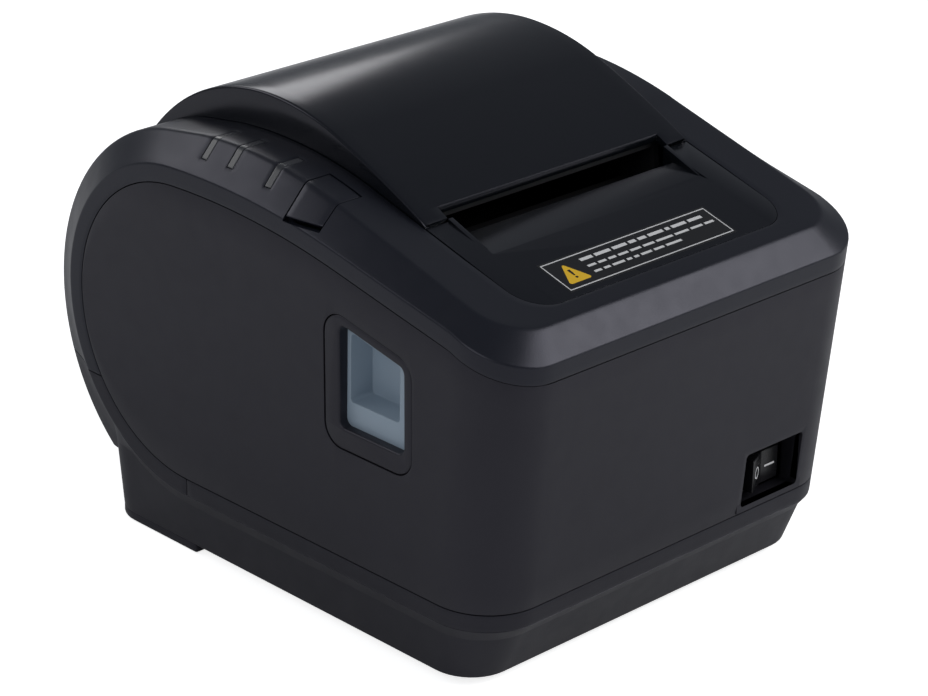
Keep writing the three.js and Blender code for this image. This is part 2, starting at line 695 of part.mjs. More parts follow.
for (const { name, y } of PIPES) {
  const [y0, y1] = [y - PIPE.half, y + PIPE.half];
  const cap = casingWall.intersect(creaseSlice(y0, y1, PIPE.inner, PIPE.drop, 0));
  const leg = box(-62.6, -60.4, y0, y1, keyBoardTop + 0.6, deckHeight(y) - 1);
  piece(name, cap.add(leg), "clear");
}

function feedButton() {
  const cap = casingWall.intersect(creaseSlice(BUTTON.y0, BUTTON.y1, BUTTON.inner, BUTTON.drop, 0));
  const stemZ = keyBoardTop + KEY_BOARD.contact + 1;
  const stemTop = deckHeight(buttonMiddle) - 1.4;
  return cap.add(box(-63, -60, buttonMiddle - 1.5, buttonMiddle + 1.5, stemZ, stemTop));
}
piece("feed_button", feedButton(), "shell");

function keyBoard() {
  const { x0, x1, y0, y1, z, contact } = KEY_BOARD;
  const plate = box(x0, x1, y0, y1, z, keyBoardTop);
  const switchY = [buttonMiddle - 2.5, buttonMiddle + 2.5];
  return plate.add(box(-64, -59, ...switchY, keyBoardTop - 0.1, keyBoardTop + contact));
}
piece("button_board", keyBoard(), "board");

// ---------- cutter cover ----------
const RIB = { x: 42.7, half: 0.8, rise: 0.9, length: 13.4 };
const RAMP = { back: -47, front: -60, drop: 2.1, lip: 3.4, lipThick: 1.2 };
const LABEL = { x0: -35.8, x1: 30.4, y0: -82.1, y1: -69, thick: 0.25, gap: 0.1 };

// A point of the cover's side view, lifted off its sloping top.
const onCover = (y, lift) => [y, DECK_FRONT.z + DECK_SLOPE * (y - DECK_FRONT.y) + lift];

function coverSlab(top, bottom) {
  const [front, rear] = [-100, -30];
  const corners = [onCover(front, bottom), onCover(rear, bottom), onCover(rear, top), onCover(front, top)];
  return prismX(corners, -70, 70);
}

function cutterCover() {
  const { back, front, drop, lip, lipThick } = RAMP;
  const middleView = [
    onCover(-100, 0),
    onCover(front, 0),
    onCover(back, -drop),
    onCover(back, -drop - lip),
    onCover(back - lipThick, -drop - lip),
    onCover(back - lipThick, -drop - WALL),
    onCover(front, -WALL),
    onCover(-100, -WALL),
  ].reverse();
  const sideView = [
    onCover(-100, -WALL),
    onCover(COVER.rear, -WALL),
    onCover(COVER.rear, 0),
    onCover(-100, 0),
  ];
  const ribView = [
    onCover(COVER.rear, RIB.rise),
    onCover(COVER.rear, -WALL - 2),
    onCover(COVER.rear - RIB.length, -WALL - 2),
    onCover(COVER.rear - RIB.length, -0.3),
  ];
  let cover = prismX(middleView, -RIB.x, RIB.x);
  for (const [, side] of SIDES) {
    cover = cover.add(sidePrism(side, sideView, RIB.x, 70));
    cover = cover.add(sidePrism(side, ribView, RIB.x - RIB.half, RIB.x + RIB.half));
  }
  const wallRing = prismZ(coverOutline(-0.4), 80, TALL).subtract(prismZ(coverOutline(-2), 80, TALL));
  const wallBand = coverSlab(-1, -6).intersect(box(-70, 70, -90, -60, 80, TALL));
  cover = cover.add(wallRing.intersect(wallBand)).intersect(prismZ(coverOutline(0), 80, TALL));
  const { x0, x1, y0, y1, thick, gap } = LABEL;
  const labelRoom = box(x0 - gap, x1 + gap, y0 - gap, y1 + gap, 80, TALL);
  cover = cover.subtract(labelRoom.intersect(coverSlab(2, -thick - gap / 2)));
  return cover.subtract(box(-70, 70, COVER.rear, 0, 80, TALL));
}
piece("cutter_cover", cutterCover(), "gloss");

const labelArea = box(LABEL.x0, LABEL.x1, LABEL.y0, LABEL.y1, 80, TALL);
piece("cover_label", labelArea.intersect(coverSlab(0, -LABEL.thick)), "label");

// ---------- lid: a curved sheet with side skirts that turns about the hinge barrel ----------
const lidGroup = new THREE.Group();
lidGroup.position.set(0, HINGE.y, HINGE.z);
printer.add(lidGroup);
const lidPiece = (name, made, finish) =>
  piece(name, made.translate([0, -HINGE.y, -HINGE.z]), finish, lidGroup);

// The lid's top line in the side view, from its front edge to its tail.
const SLOPE_END_DEG = -20.5;
const BACK_END_DEG = 51.9;
function lidTop(inset, tailDeg = HINGE.tailDeg) {
  const { slope, crown, back } = LID_ARCS;
  const backEndY = back.y + back.r * Math.sin(BACK_END_DEG * DEG);
  return [
    ...arc(slope, angleAt(slope, LID_FRONT_Y), SLOPE_END_DEG, 5, inset),
    ...arc(crown, SLOPE_END_DEG, 0, 4, inset).slice(1),
    ...arc(back, 0, BACK_END_DEG, 8, inset).slice(1),
    ...arc(DRUM, angleAt(DRUM, backEndY) + 2, tailDeg, 4, inset),
  ];
}

const LID_SKIRT = { deep: 4, ys: [80, 72, 60, 46, 34, 16, 0, -24, LID_FRONT_Y] };
function lid() {
  const top = lidTop(0);
  const sheet = prismX([...top, ...lidTop(LID_WALL).reverse()].reverse(), -LID_HALF, LID_HALF);
  const lowEdge = LID_SKIRT.ys.map((y) => [y, deckHeight(y) - LID_SKIRT.deep]);
  const skirtView = [...top, ...lowEdge].reverse();
  const barrel = cylinderX(HINGE.y, HINGE.z, HINGE.barrelR, -LID_HALF, LID_HALF, 32);
  let made = sheet.add(barrel);
  for (const [, side] of SIDES) {
    made = made.add(sidePrism(side, skirtView, LID_HALF - LID_WALL, LID_HALF));
  }
  const pinBore = cylinderX(HINGE.y, HINGE.z, HINGE.pinR + 0.08, -60, 60, 20);
  return cutFrom(made, pinBore, box(-SLOT.half, SLOT.half, -60, SLOT.lidY, 80, TALL));
}
lidPiece("lid", lid(), "gloss");

const PIN = { inner: 47.3, outer: 55.3 };
for (const [where, side] of SIDES) {
  const pin = cylinderX(HINGE.y, HINGE.z, HINGE.pinR, ...ends(side, PIN.inner, PIN.outer), 20);
  piece(`hinge_pin_${where}`, pin, "steel");
}

// The liner under the lid guides the paper and carries the platen in two arms.
const LINER = { half: 48.5, gap: 0.4, thick: 1.6, tailDeg: 52, webDrop: 14 };
const ARM = { inner: 43.6, outer: 45.6, front: -40.4, bottom: 87.5 };
const FIXED_BLADE = { half: 43, y0: -41.2, y1: -33, z0: 104.8, z1: 105.6 };
function lidLiner() {
  const upper = lidTop(LID_WALL + LINER.gap, LINER.tailDeg);
  const lower = lidTop(LID_WALL + LINER.gap + LINER.thick, LINER.tailDeg).reverse();
  const ahead = box(-50, 50, -60, SLOT.lidY + 1, 105, TALL);
  let liner = prismX([...upper, ...lower].reverse(), -LINER.half, LINER.half);
  const webLow = [64, 40, 10, -20, -30].map((y) => [y, deckHeight(y) - LINER.webDrop]);
  const webView = [...lidTop(LID_WALL + 1, LINER.tailDeg - 2), ...webLow, [ARM.front, 104]].reverse();
  const armView = [
    [ARM.front, ARM.bottom],
    [-31.2, ARM.bottom],
    [-24, 112],
    [-38, 118],
    [ARM.front, 104],
  ];
  for (const [, side] of SIDES) {
    liner = liner.add(sidePrism(side, webView, ARM.inner, ARM.outer));
  }
  liner = liner.subtract(ahead);
  for (const [, side] of SIDES) {
    liner = liner.add(sidePrism(side, armView, ARM.inner, ARM.outer));
  }
  const { half, y0, y1, z0, z1 } = FIXED_BLADE;
  const seat = box(-ARM.outer, ARM.outer, y0 + 1.5, y1 + 3, z1 - 0.2, z1 + 3);
  const brace = box(-ARM.outer, ARM.outer, y1 + 0.6, y1 + 3, z0, z1 + 3);
  const bladeRoom = box(-half - 0.3, half + 0.3, -60, y1 + 0.3, z0 - 0.4, z1 + 0.3);
  const shaftHole = cylinderX(PLATEN.y, PLATEN.z, PLATEN.shaftR + 0.3, -60, 60, 20);
  return cutFrom(joined(liner, seat, brace), bladeRoom, shaftHole);
}
lidPiece("lid_liner", lidLiner(), "dark");

const { half: bladeHalf, y0: bladeY0, y1: bladeY1, z0: bladeZ0, z1: bladeZ1 } = FIXED_BLADE;
lidPiece("fixed_blade", box(-bladeHalf, bladeHalf, bladeY0, bladeY1, bladeZ0, bladeZ1), "steel");

// ---------- gears ----------
const GEAR_GAP = 0.1; // added to each pair's centre distance
const pitchRadius = (teeth) => (TOOTH * teeth) / 2;
const gearDistance = (a, b) => pitchRadius(a) + pitchRadius(b) + GEAR_GAP;
const ROOT_DEPTH = 1.15 * TOOTH;
const TIP_HEIGHT = 0.8 * TOOTH;
const ROOT_SHARE = 0.31; // half a tooth's width at its root, as a share of the pitch
const TIP_SHARE = 0.1;

// A spur gear's outline; one tooth points along the given angle.
function gearOutline(teeth, toothDeg, centre = [0, 0]) {
  const rootR = pitchRadius(teeth) - ROOT_DEPTH;
  const tipR = pitchRadius(teeth) + TIP_HEIGHT;
  const pitchAngle = (2 * Math.PI) / teeth;
  const points = [];
  for (let i = 0; i < teeth; i += 1) {
    const middle = toothDeg * DEG + i * pitchAngle;
    for (const [r, share] of [
      [rootR, -ROOT_SHARE],
      [tipR, -TIP_SHARE],
      [tipR, TIP_SHARE],
      [rootR, ROOT_SHARE],
    ]) {
      const a = middle + share * pitchAngle;
      points.push([centre[0] + r * Math.cos(a), centre[1] + r * Math.sin(a)]);
    }
  }
  return points;
}

// The tooth angle of a gear that meshes with another at the given direction seen from the other.
function meshingTooth(otherTeeth, otherToothDeg, teeth, directionDeg) {
  const otherPitch = 360 / otherTeeth;
  const phase = ((directionDeg - otherToothDeg) / otherPitch) % 1;
  return directionDeg + 180 + (180 + 360 * phase) / teeth;
}

// The feed train hangs below the platen gear: the idler, then the motor's pinion.
// Directions are in the side view, from +Y towards +Z.
const IDLER_DEG = 250;
const MOTOR_DEG = 214;
const stepFrom = (from, deg, distance) => ({
  y: from.y + distance * Math.cos(deg * DEG),
  z: from.z + distance * Math.sin(deg * DEG),
});
const IDLER = stepFrom(PLATEN, IDLER_DEG, gearDistance(TEETH.platen, TEETH.idler));
const MOTOR = stepFrom(IDLER, MOTOR_DEG, gearDistance(TEETH.idler, TEETH.motor));
const platenTooth = IDLER_DEG;
const idlerTooth = meshingTooth(TEETH.platen, platenTooth, TEETH.idler, IDLER_DEG);
const motorTooth = meshingTooth(TEETH.idler, idlerTooth, TEETH.motor, MOTOR_DEG);

function gearX(teeth, toothDeg, { y, z }, boreR) {
  const blank = prismX(gearOutline(teeth, toothDeg, [y, z]), GEAR_X.far, GEAR_X.near);
  return blank.subtract(cylinderX(y, z, boreR, -60, -40, 20));
}

// ---------- platen ----------
const BUSHING = { r: 4, inner: 40.4, outer: 43.3 };
lidPiece("platen_shaft", cylinderX(PLATEN.y, PLATEN.z, PLATEN.shaftR, -51.2, 51.2, 20), "steel");
const platenBore = cylinderX(PLATEN.y, PLATEN.z, PLATEN.shaftR + 0.02, -60, 60, 20);
const rollerBlank = cylinderX(PLATEN.y, PLATEN.z, PLATEN.r, -PLATEN.half, PLATEN.half, 36);
lidPiece("platen_roller", rollerBlank.subtract(platenBore), "rubber");
lidPiece("platen_gear", gearX(TEETH.platen, platenTooth, PLATEN, PLATEN.shaftR + 0.02), "nylon");
const bushingBore = cylinderX(PLATEN.y, PLATEN.z, PLATEN.shaftR + 0.1, -60, 60, 20);
for (const [where, side] of SIDES) {
  const { r, inner, outer } = BUSHING;
  const bushing = cylinderX(PLATEN.y, PLATEN.z, r, ...ends(side, inner, outer)).subtract(bushingBore);
  lidPiece(`platen_bushing_${where}`, bushing, "dark");
}

// ---------- printing mechanism ----------
const SPRING_PLATE = { y0: -57, y1: -56, z0: 86, z1: 97 };
const HEAD_PIVOT = { y: -45.1, z: 82, r: 1.2 };
const IDLER_POST = { r: 1.5, end: -49.6 };
const RUNNING = 0.08; // radial clearance of the turning shafts
function mechanismFrame() {
  const { inner, thick } = SIDE_PLATE;
  const plateView = [
    [-64, FRAME_Z],
    [-28, FRAME_Z],
    [-27, 84],
    [-29.5, 100],
    [-58, 100],
    [-64, 84],
  ];
  let frame = box(-inner - 1, inner + 1, -64, -28, FRAME_Z, FRAME_Z + thick);
  for (const [, side] of SIDES) {
    frame = frame.add(sidePrism(side, plateView, inner, inner + thick));
  }
  const room = BUSHING.r + 0.25;
  const notch = joined(
    cylinderX(PLATEN.y, PLATEN.z, room, -60, 60, 24),
    box(-60, 60, PLATEN.y - room, PLATEN.y + room + 1, PLATEN.z, 110),
  );
  frame = frame.subtract(notch);
  const { y0, y1, z0, z1 } = SPRING_PLATE;
  frame = frame.add(box(-inner - 0.5, inner + 0.5, y0, y1, z0, z1));
  frame = cutFrom(
    frame,
    cylinderX(LATCH.y, LATCH.z, LATCH.shaftR + RUNNING, -60, 60, 20),
    cylinderX(HEAD_PIVOT.y, HEAD_PIVOT.z, HEAD_PIVOT.r + 0.05, -60, 60, 16),
    cylinderX(MOTOR.y, MOTOR.z, 4, -60, -30, 20),
  );
  for (const [, side] of SIDES) {
    frame = frame.subtract(cylinderZ(side * FRAME_POST.x, FRAME_POST.y, 1.8, 10, 20, 16));
  }
  return frame.add(cylinderX(IDLER.y, IDLER.z, IDLER_POST.r, IDLER_POST.end, -inner - 0.5, 16));
}
piece("mechanism_frame", mechanismFrame(), "zinc");
for (const [where, side] of SIDES) {
  const mesh = piece(`frame_screw_${where}`, screw(1.2, 2.6, 7, 1.6), "zinc");
  mesh.position.set(side * FRAME_POST.x, FRAME_POST.y, FRAME_Z + SIDE_PLATE.thick + 0.1);
}

const FEED_MOTOR = { r: 17.5, x0: -40.6, x1: -21, bossR: 3.6, bossEnd: -42.6 };
function feedMotor() {
  const { r, x0, x1, bossR, bossEnd } = FEED_MOTOR;
  const boss = cylinderX(MOTOR.y, MOTOR.z, bossR, bossEnd, x0 + 0.1, 20);
  return cylinderX(MOTOR.y, MOTOR.z, r, x0, x1, 32).add(boss);
}
piece("feed_motor", feedMotor(), "zinc");
piece("idler_gear", gearX(TEETH.idler, idlerTooth, IDLER, IDLER_POST.r + 0.1), "nylon");
const motorShaft = cylinderX(MOTOR.y, MOTOR.z, 1, GEAR_X.far - 0.8, FEED_MOTOR.bossEnd - 0.3, 14);
piece("motor_pinion", gearX(TEETH.motor, motorTooth, MOTOR, 0.5).add(motorShaft), "nylon");

const HEAD = { half: 39.8, y0: -46.6, y1: -43.6, z0: 80, z1: 101 };
const headBlank = box(-HEAD.half, HEAD.half, HEAD.y0, HEAD.y1, HEAD.z0, HEAD.z1);
const headBore = cylinderX(HEAD_PIVOT.y, HEAD_PIVOT.z, HEAD_PIVOT.r + RUNNING, -60, 60, 16);
piece("head_heatsink", headBlank.subtract(headBore), "aluminium");
piece("thermal_head", box(-39.5, 39.5, -43.4, -42.4, 88, 100.2), "ceramic");
piece("head_pivot_shaft", cylinderX(HEAD_PIVOT.y, HEAD_PIVOT.z, HEAD_PIVOT.r, -43.2, 43.2, 16), "steel");

// A coil spring that runs along Y from the origin.
function coilSpring(turns, coilR, wireR, length) {
  const curve = new THREE.Curve();
  curve.getPoint = (t) => {
    const a = 2 * Math.PI * turns * t;
    return new THREE.Vector3(coilR * Math.cos(a), length * t, coilR * Math.sin(a));
  };
  const wire = new THREE.Shape();
  wire.absarc(0, 0, wireR, 0, 2 * Math.PI, false);
  const settings = { steps: turns * 12, extrudePath: curve, curveSegments: 3, bevelEnabled: false };
  return solid(new THREE.ExtrudeGeometry(wire, settings));
}
for (const [where, side] of SIDES) {
  const mesh = piece(`head_spring_${where}`, coilSpring(4, 2.6, 0.4, 8), "steel");
  mesh.position.set(side * 22, SPRING_PLATE.y1 + 0.45, 93);
}

const guideView = [
  [-38, 84.4],
  [-20, 84],
  [-21, 82.2],
  [-38, 82.2],
  [-41.6, 84],
  [-41.6, 86],
].reverse();
piece("paper_guide", prismX(guideView, -40.6, 40.6), "dark");

// ---------- cutter ----------
const CUTTER_GEAR = { x: -17.7, y: -70, z0: 94, z1: 96.4, spindleR: 2, knobR: 3.6 };
const RACK_X = CUTTER_GEAR.x + pitchRadius(TEETH.rack) + GEAR_GAP;
const BLADE = { half: 38, y0: -62, y1: -44.6, z0: 103.6, z1: 104.4, vee: 3.5 };
const RACK = { z0: BLADE.z0 - 0.2, z1: BLADE.z1 + 1.2, start: -78, end: -60, thick: 3 };
const CUTTER_MOTOR = {
  x: CUTTER_GEAR.x + gearDistance(TEETH.cutter, TEETH.cutterMotor),
  y: CUTTER_GEAR.y,
  r: 9.5,
  z0: 70,
  z1: 92,
};
const CUTTER_PLATE = { half: 40.5, y0: -82, y1: -50, z0: 98, z1: 99.2, rail: 6 };

function movingBlade() {
  const { half, y0, y1, z0, z1, vee } = BLADE;
  const edge = [
    [-half, y0],
    [half, y0],
    [half, y1],
    [0, y1 - vee],
    [-half, y1],
  ];
  const pitch = Math.PI * TOOTH;
  const rootX = RACK_X + ROOT_DEPTH;
  const tipX = RACK_X - TIP_HEIGHT;
  const rack = [
    [rootX + RACK.thick, RACK.start],
    [rootX + RACK.thick, RACK.end],
    [rootX, RACK.end],
  ];
  for (let i = 2; i >= -3; i -= 1) {
    const middle = CUTTER_GEAR.y + (i + 0.5) * pitch;
    rack.push(
      [rootX, middle + ROOT_SHARE * pitch],
      [tipX, middle + TIP_SHARE * pitch],
      [tipX, middle - TIP_SHARE * pitch],
      [rootX, middle - ROOT_SHARE * pitch],
    );
  }
  rack.push([rootX, RACK.start]);
  return prismZ(edge, z0, z1).add(prismZ(rack, RACK.z0, RACK.z1));
}
piece("moving_blade", movingBlade(), "steel");

function cutterFrame() {
  const { half, y0, y1, z0, z1, rail } = CUTTER_PLATE;
  let plate = box(-half, half, y0, y1, z0, z1);
  for (const [, side] of SIDES) {
    plate = plate.add(sideBox(side, half - rail, half, -64, -51, z1 - 0.2, BLADE.z0 - 0.3));
    const postY = CUTTER_MOTOR.y + side * 8;
    plate = plate.add(cylinderZ(CUTTER_MOTOR.x, postY, 1.4, CUTTER_MOTOR.z1 + 0.3, z0 + 0.2, 14));
  }
  const spindleHole = CUTTER_GEAR.spindleR + RUNNING;
  return plate.subtract(cylinderZ(CUTTER_GEAR.x, CUTTER_GEAR.y, spindleHole, 90, 110, 18));
}
piece("cutter_frame", cutterFrame(), "zinc");

function cutterGear() {
  const { x, y, z0, z1, spindleR, knobR } = CUTTER_GEAR;
  return joined(
    prismZ(gearOutline(TEETH.cutter, 0, [x, y]), z0, z1),
    prismZ(gearOutline(TEETH.rack, 0, [x, y]), RACK.z0, RACK.z1),
    cylinderZ(x, y, spindleR, z0 - 1, RACK.z1 + 1, 18),
    cylinderZ(x, y, knobR, RACK.z1 + 0.4, RACK.z1 + 2, 12),
  );
}
piece("cutter_gear", cutterGear(), "nylon");

function cutterPinion() {
  const { x, y, z1 } = CUTTER_MOTOR;
  const tooth = meshingTooth(TEETH.cutter, 0, TEETH.cutterMotor, 0);
  const wheel = prismZ(gearOutline(TEETH.cutterMotor, tooth, [x, y]), CUTTER_GEAR.z0, CUTTER_GEAR.z1);
  return wheel.add(cylinderZ(x, y, 1, z1 + 0.4, CUTTER_GEAR.z0 + 0.2, 14));
}
piece("cutter_pinion", cutterPinion(), "nylon");
const { x: motorX, y: motorY, r: motorR, z0: motorZ0, z1: motorZ1 } = CUTTER_MOTOR;
piece("cutter_motor", cylinderZ(motorX, motorY, motorR, motorZ0, motorZ1, 28), "zinc");

// ---------- latch and open lever ----------
// The lever is a plate behind the bezel with a sunk finger pocket.
const LEVER_PLATE = { rear: -29.5, front: -62.5, bottom: 61.5, top: 98.5, r: 2, thick: 2 };
const LEVER_FACE_X = -70.4;
const POCKET = { rear: -34.6, front: -53.7, bottom: 72.3, top: 92.5, r: 1.2, depth: 8.2, wall: 1.6 };
const latchGroup = new THREE.Group();
latchGroup.position.set(0, LATCH.y, LATCH.z);
printer.add(latchGroup);
const latchPiece = (name, made, finish) =>
  piece(name, made.translate([0, -LATCH.y, -LATCH.z]), finish, latchGroup);

function openLever() {
  const { bottom, depth, wall } = POCKET;
  const back = LEVER_FACE_X + depth;
  const plate = prismX(slopedOutline(LEVER_PLATE, 0), LEVER_FACE_X, LEVER_FACE_X + LEVER_PLATE.thick);
  const cup = prismX(slopedOutline(POCKET, wall), LEVER_FACE_X + 0.5, back + wall);
  const hollow = prismX(slopedOutline(POCKET, 0), LEVER_FACE_X - 1, back);
  const tab = box(back, -LATCH.outer - 0.2, -50, -42, bottom - wall, bottom + 6);
  return plate.add(cup).subtract(hollow).add(tab);
}
latchPiece("open_lever", openLever(), "lever");

// The arms reach up to hooks beside the platen shaft's ends.
function latchArm(side) {
  const armView = [
    [LATCH.y - 5, LATCH.z - 5],
    [LATCH.y + 5, LATCH.z - 5],
    [LATCH.y + 4, 88],
    [LATCH.y + 5.6, 92],
    [LATCH.y + 5.6, 97],
    [LATCH.y - 1, 97],
    [LATCH.y - 4, 88],
  ];
  const hole = cylinderX(LATCH.y, LATCH.z, LATCH.shaftR + 0.02, -60, 60, 20);
  return sidePrism(side, armView, LATCH.inner, LATCH.outer).subtract(hole);
}
for (const [where, side] of SIDES) {
  latchPiece(`latch_arm_${where}`, latchArm(side), "zinc");
}
latchPiece("latch_shaft", cylinderX(LATCH.y, LATCH.z, LATCH.shaftR, -51.2, 51.2, 20), "steel");

const latchSpring = piece("latch_spring", coilSpring(4, 3, 0.4, 6), "steel");
latchSpring.rotation.z = 90 * DEG;
latchSpring.position.set(0, LATCH.y, LATCH.z);

// ---------- power switch ----------
const ROCKER = { x: 41, z: 34.5, half: 7.4, tall: 5.1, face: -86, tiltDeg: 12.5, pivotY: -81.5 };
function powerRocker() {
  const { half, tall, face, tiltDeg, pivotY } = ROCKER;
  const rise = half * Math.tan(tiltDeg * DEG);
  const keyView = [
    [-half, face - rise - pivotY],
    [0, face - pivotY],
    [half, face - rise - pivotY],
    [half - 1, 1],
    [-half + 1, 1],
  ];
  return prismZ(keyView, -tall, tall).subtract(cylinderZ(0, 0, 1.1, -6, 6, 16));
}
const rocker = piece("power_rocker", powerRocker(), "dark");
rocker.position.set(ROCKER.x, ROCKER.pivotY, ROCKER.z);
rocker.rotation.z = ROCKER.tiltDeg * DEG;

function rockerHousing() {
  const { x, z, pivotY } = ROCKER;
  const flange = box(x - 11, x + 11, -83.6, -82.4, z - 6.6, z + 8.4);
  const body = box(x - 9.4, x + 9.4, -83, -68, z - 6.4, z + 7);
  const room = box(x - 8.5, x + 8.5, -90, -77.5, z - 5.4, z + 5.4);
  return cutFrom(flange.add(body), room).add(cylinderZ(x, pivotY, 0.9, z - 5.6, z + 5.6, 14));
}
piece("rocker_housing", rockerHousing(), "dark");

// ---------- paper bucket: a trough for the roll, with an end wall and an ear on each side ----------
const BUCKET = { y: 26, z: 72, r: 42.4, wall: 1.8, half: 41, fromDeg: 98, toDeg: 262 };
const EAR = { z: BUCKET_POST.top, thick: 2, half: 6, outer: 52 };
function paperBucket() {
  const { r, wall, half, fromDeg, toDeg } = BUCKET;
  const outside = arc({ ...BUCKET, r: r + wall }, toDeg, fromDeg, 26);
  const inside = arc(BUCKET, fromDeg, toDeg, 26);
  let bucket = prismX([...outside, ...inside].reverse(), -half - 1, half + 1);
  const endView = [...outside].reverse();
  for (const [, side] of SIDES) {
    const { x, y } = BUCKET_POST;
    bucket = bucket.add(sidePrism(side, endView, half, half + wall));
    const earEnds = [y - EAR.half, y + EAR.half, EAR.z, EAR.z + EAR.thick];
    bucket = bucket.add(sideBox(side, half + 1, EAR.outer, ...earEnds));
    bucket = bucket.subtract(cylinderZ(side * x, y, 1.8, 55, 65, 16));
  }
  return bucket;
}
piece("paper_bucket", paperBucket(), "dark");
for (const [where, side] of SIDES) {
  const mesh = piece(`bucket_screw_${where}`, screw(1.2, 2.8, 9, 1.8), "zinc");
  mesh.position.set(side * BUCKET_POST.x, BUCKET_POST.y, EAR.z + EAR.thick + 0.1);
}

// ---------- main board and its sockets ----------
const boardTop = BOARD.z + BOARD.thick;
piece("main_board", box(-BOARD.half, BOARD.half, BOARD.y0, BOARD.y1, BOARD.z, boardTop), "board");
for (const { name, x, half, top, finish } of PORTS) {
  const { back, deep, z, rim } = SOCKETS;
  const block = box(x - half, x + half, back - deep, back, z, top);
  const mouth = box(x - half + rim, x + half - rim, back - 11, back + 1, z + 2.3, top - 1.8);
  piece(name, block.subtract(mouth), finish);
}

export default printer;
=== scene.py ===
"""A desktop receipt printer: its looks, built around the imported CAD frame."""
import json
import math

import bmesh
import bpy
import numpy as np
from mathutils import Matrix, Vector


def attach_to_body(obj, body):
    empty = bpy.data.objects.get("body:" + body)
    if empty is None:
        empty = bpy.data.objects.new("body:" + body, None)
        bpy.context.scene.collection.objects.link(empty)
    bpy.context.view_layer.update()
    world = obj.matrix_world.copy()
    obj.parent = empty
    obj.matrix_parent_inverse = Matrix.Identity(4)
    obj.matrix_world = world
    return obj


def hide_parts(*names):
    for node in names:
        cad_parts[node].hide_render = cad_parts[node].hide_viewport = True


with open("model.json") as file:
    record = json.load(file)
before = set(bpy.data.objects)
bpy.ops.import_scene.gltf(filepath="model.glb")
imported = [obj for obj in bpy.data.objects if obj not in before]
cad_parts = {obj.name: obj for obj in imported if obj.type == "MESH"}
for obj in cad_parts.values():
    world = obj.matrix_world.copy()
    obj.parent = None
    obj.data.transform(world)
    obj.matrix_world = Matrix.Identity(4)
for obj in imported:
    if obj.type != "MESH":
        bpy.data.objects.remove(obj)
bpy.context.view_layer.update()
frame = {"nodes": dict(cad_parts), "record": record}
MM = 0.001

# ---------------------------------------------------------------- driving dimensions, in mm
HALF_WIDTH = 72.5
SIDE_DRAFT = 0.019
FRONT_Y = -90.0
FRONT_LEAN = 0.084
CORNER_R = 18.2
WALL = 2.4
GAP = 0.17
SEAM_Z = 25.6
RIM = 5.4
BAND_Z = SEAM_Z - RIM
REAR_SPLIT_Z = 45.7
FRONT_SEAM = (-95.7, 93.8)
SEAM_BEND = (-75.0, 101.4)
SEAM_SLOPE = 0.21
SEAM_ARC = (21.0, -142.1, 258.0)
PANEL_ROUND = (32.5, 70.6, 45.0)
DECK_HALF = 66.0
DECK_FRONT = (-90.0, 106.8)
DECK_CORNER_R = 14.0
DECK_SLOPE = 0.277
DECK_ARC = (16.0, -19.4, 150.0)
DRUM = (34.17, 66.7, 62.0)
LID_HALF = 51.7
LID_FRONT_Y = -43.2
LID_SLOPE = (96.6, -144.7, 300.0)
LID_CROWN = (19.5, 61.4, 80.0)
LID_BACK = (19.5, 75.4, 66.0)
LID_WALL = 2.0
SLOT_HALF = 43.5
SLOT_LID_Y = -39.2
HINGE = (85.3, 91.7)
HINGE_R = 5.0
LID_TAIL = 62.0
OPENING_HALF = 52.05
COVER = dict(half=51.5, front=-84.0, rear=-43.5, r=10.5)
PIPE_YS = dict(rear=24.9, middle=14.3, front=-1.5)
PIPE_HALF = 1.2
PIPE_INNER = -58.4
BUTTON = dict(y0=-24.3, y1=-12.0, inner=-57.6, drop=5.0)


# ---------------------------------------------------------------- form of the casing
def half_width(z):
    return HALF_WIDTH + SIDE_DRAFT * (z - SEAM_Z)


def front_y(z):
    return FRONT_Y - FRONT_LEAN * (z - SEAM_Z)


def circle_point(circle, degrees):
    """A point of a side-view circle; degrees run from straight up towards the back."""
    a = math.radians(degrees)
    return circle[0] + circle[2] * math.sin(a), circle[1] + circle[2] * math.cos(a)


DECK_BEND_Y = DECK_ARC[0] - DECK_ARC[2] * math.sin(math.atan(DECK_SLOPE))
DRUM_START = math.degrees(math.atan2(DRUM[0] - DECK_ARC[0], DRUM[1] - DECK_ARC[1]))
DRUM_START_Y = circle_point(DRUM, DRUM_START)[0]
SEAM_TANGENT_Y = SEAM_ARC[0] - SEAM_ARC[2] * math.sin(math.atan(SEAM_SLOPE))
ROUND_START = math.degrees(math.atan2(PANEL_ROUND[0] - SEAM_ARC[0], PANEL_ROUND[1] - SEAM_ARC[1]))
ROUND_START_Y = circle_point(PANEL_ROUND, ROUND_START)[0]


def on_circle(circle, y):
    return circle[1] + math.sqrt(max(circle[2] ** 2 - (y - circle[0]) ** 2, 0.0))


def deck_z(y):
    if y < DECK_BEND_Y:
        return DECK_FRONT[1] + DECK_SLOPE * (y - DECK_FRONT[0])
    return on_circle(DECK_ARC if y < DRUM_START_Y else DRUM, y)


def seam_z(y):
    if y < FRONT_SEAM[0]:
        return FRONT_SEAM[1]
    if y < SEAM_BEND[0]:
        slope = (SEAM_BEND[1] - FRONT_SEAM[1]) / (SEAM_BEND[0] - FRONT_SEAM[0])
        return FRONT_SEAM[1] + slope * (y - FRONT_SEAM[0])
    if y < SEAM_TANGENT_Y:
        return SEAM_BEND[1] + SEAM_SLOPE * (y - SEAM_BEND[0])
    if y < ROUND_START_Y:
        return on_circle(SEAM_ARC, y)
    return on_circle(PANEL_ROUND, y)


def mix(a, b, t):
    return a + (b - a) * t


# A place along the left half of the printer's outline, from the middle of the front to the back.
# "front": t runs from the middle to the corner; "corner": degrees 270 to 180;
# "lead": t runs from the corner to LEAD_Y; "side": y; "round": t runs round the back.
LEAD_Y = -58.0


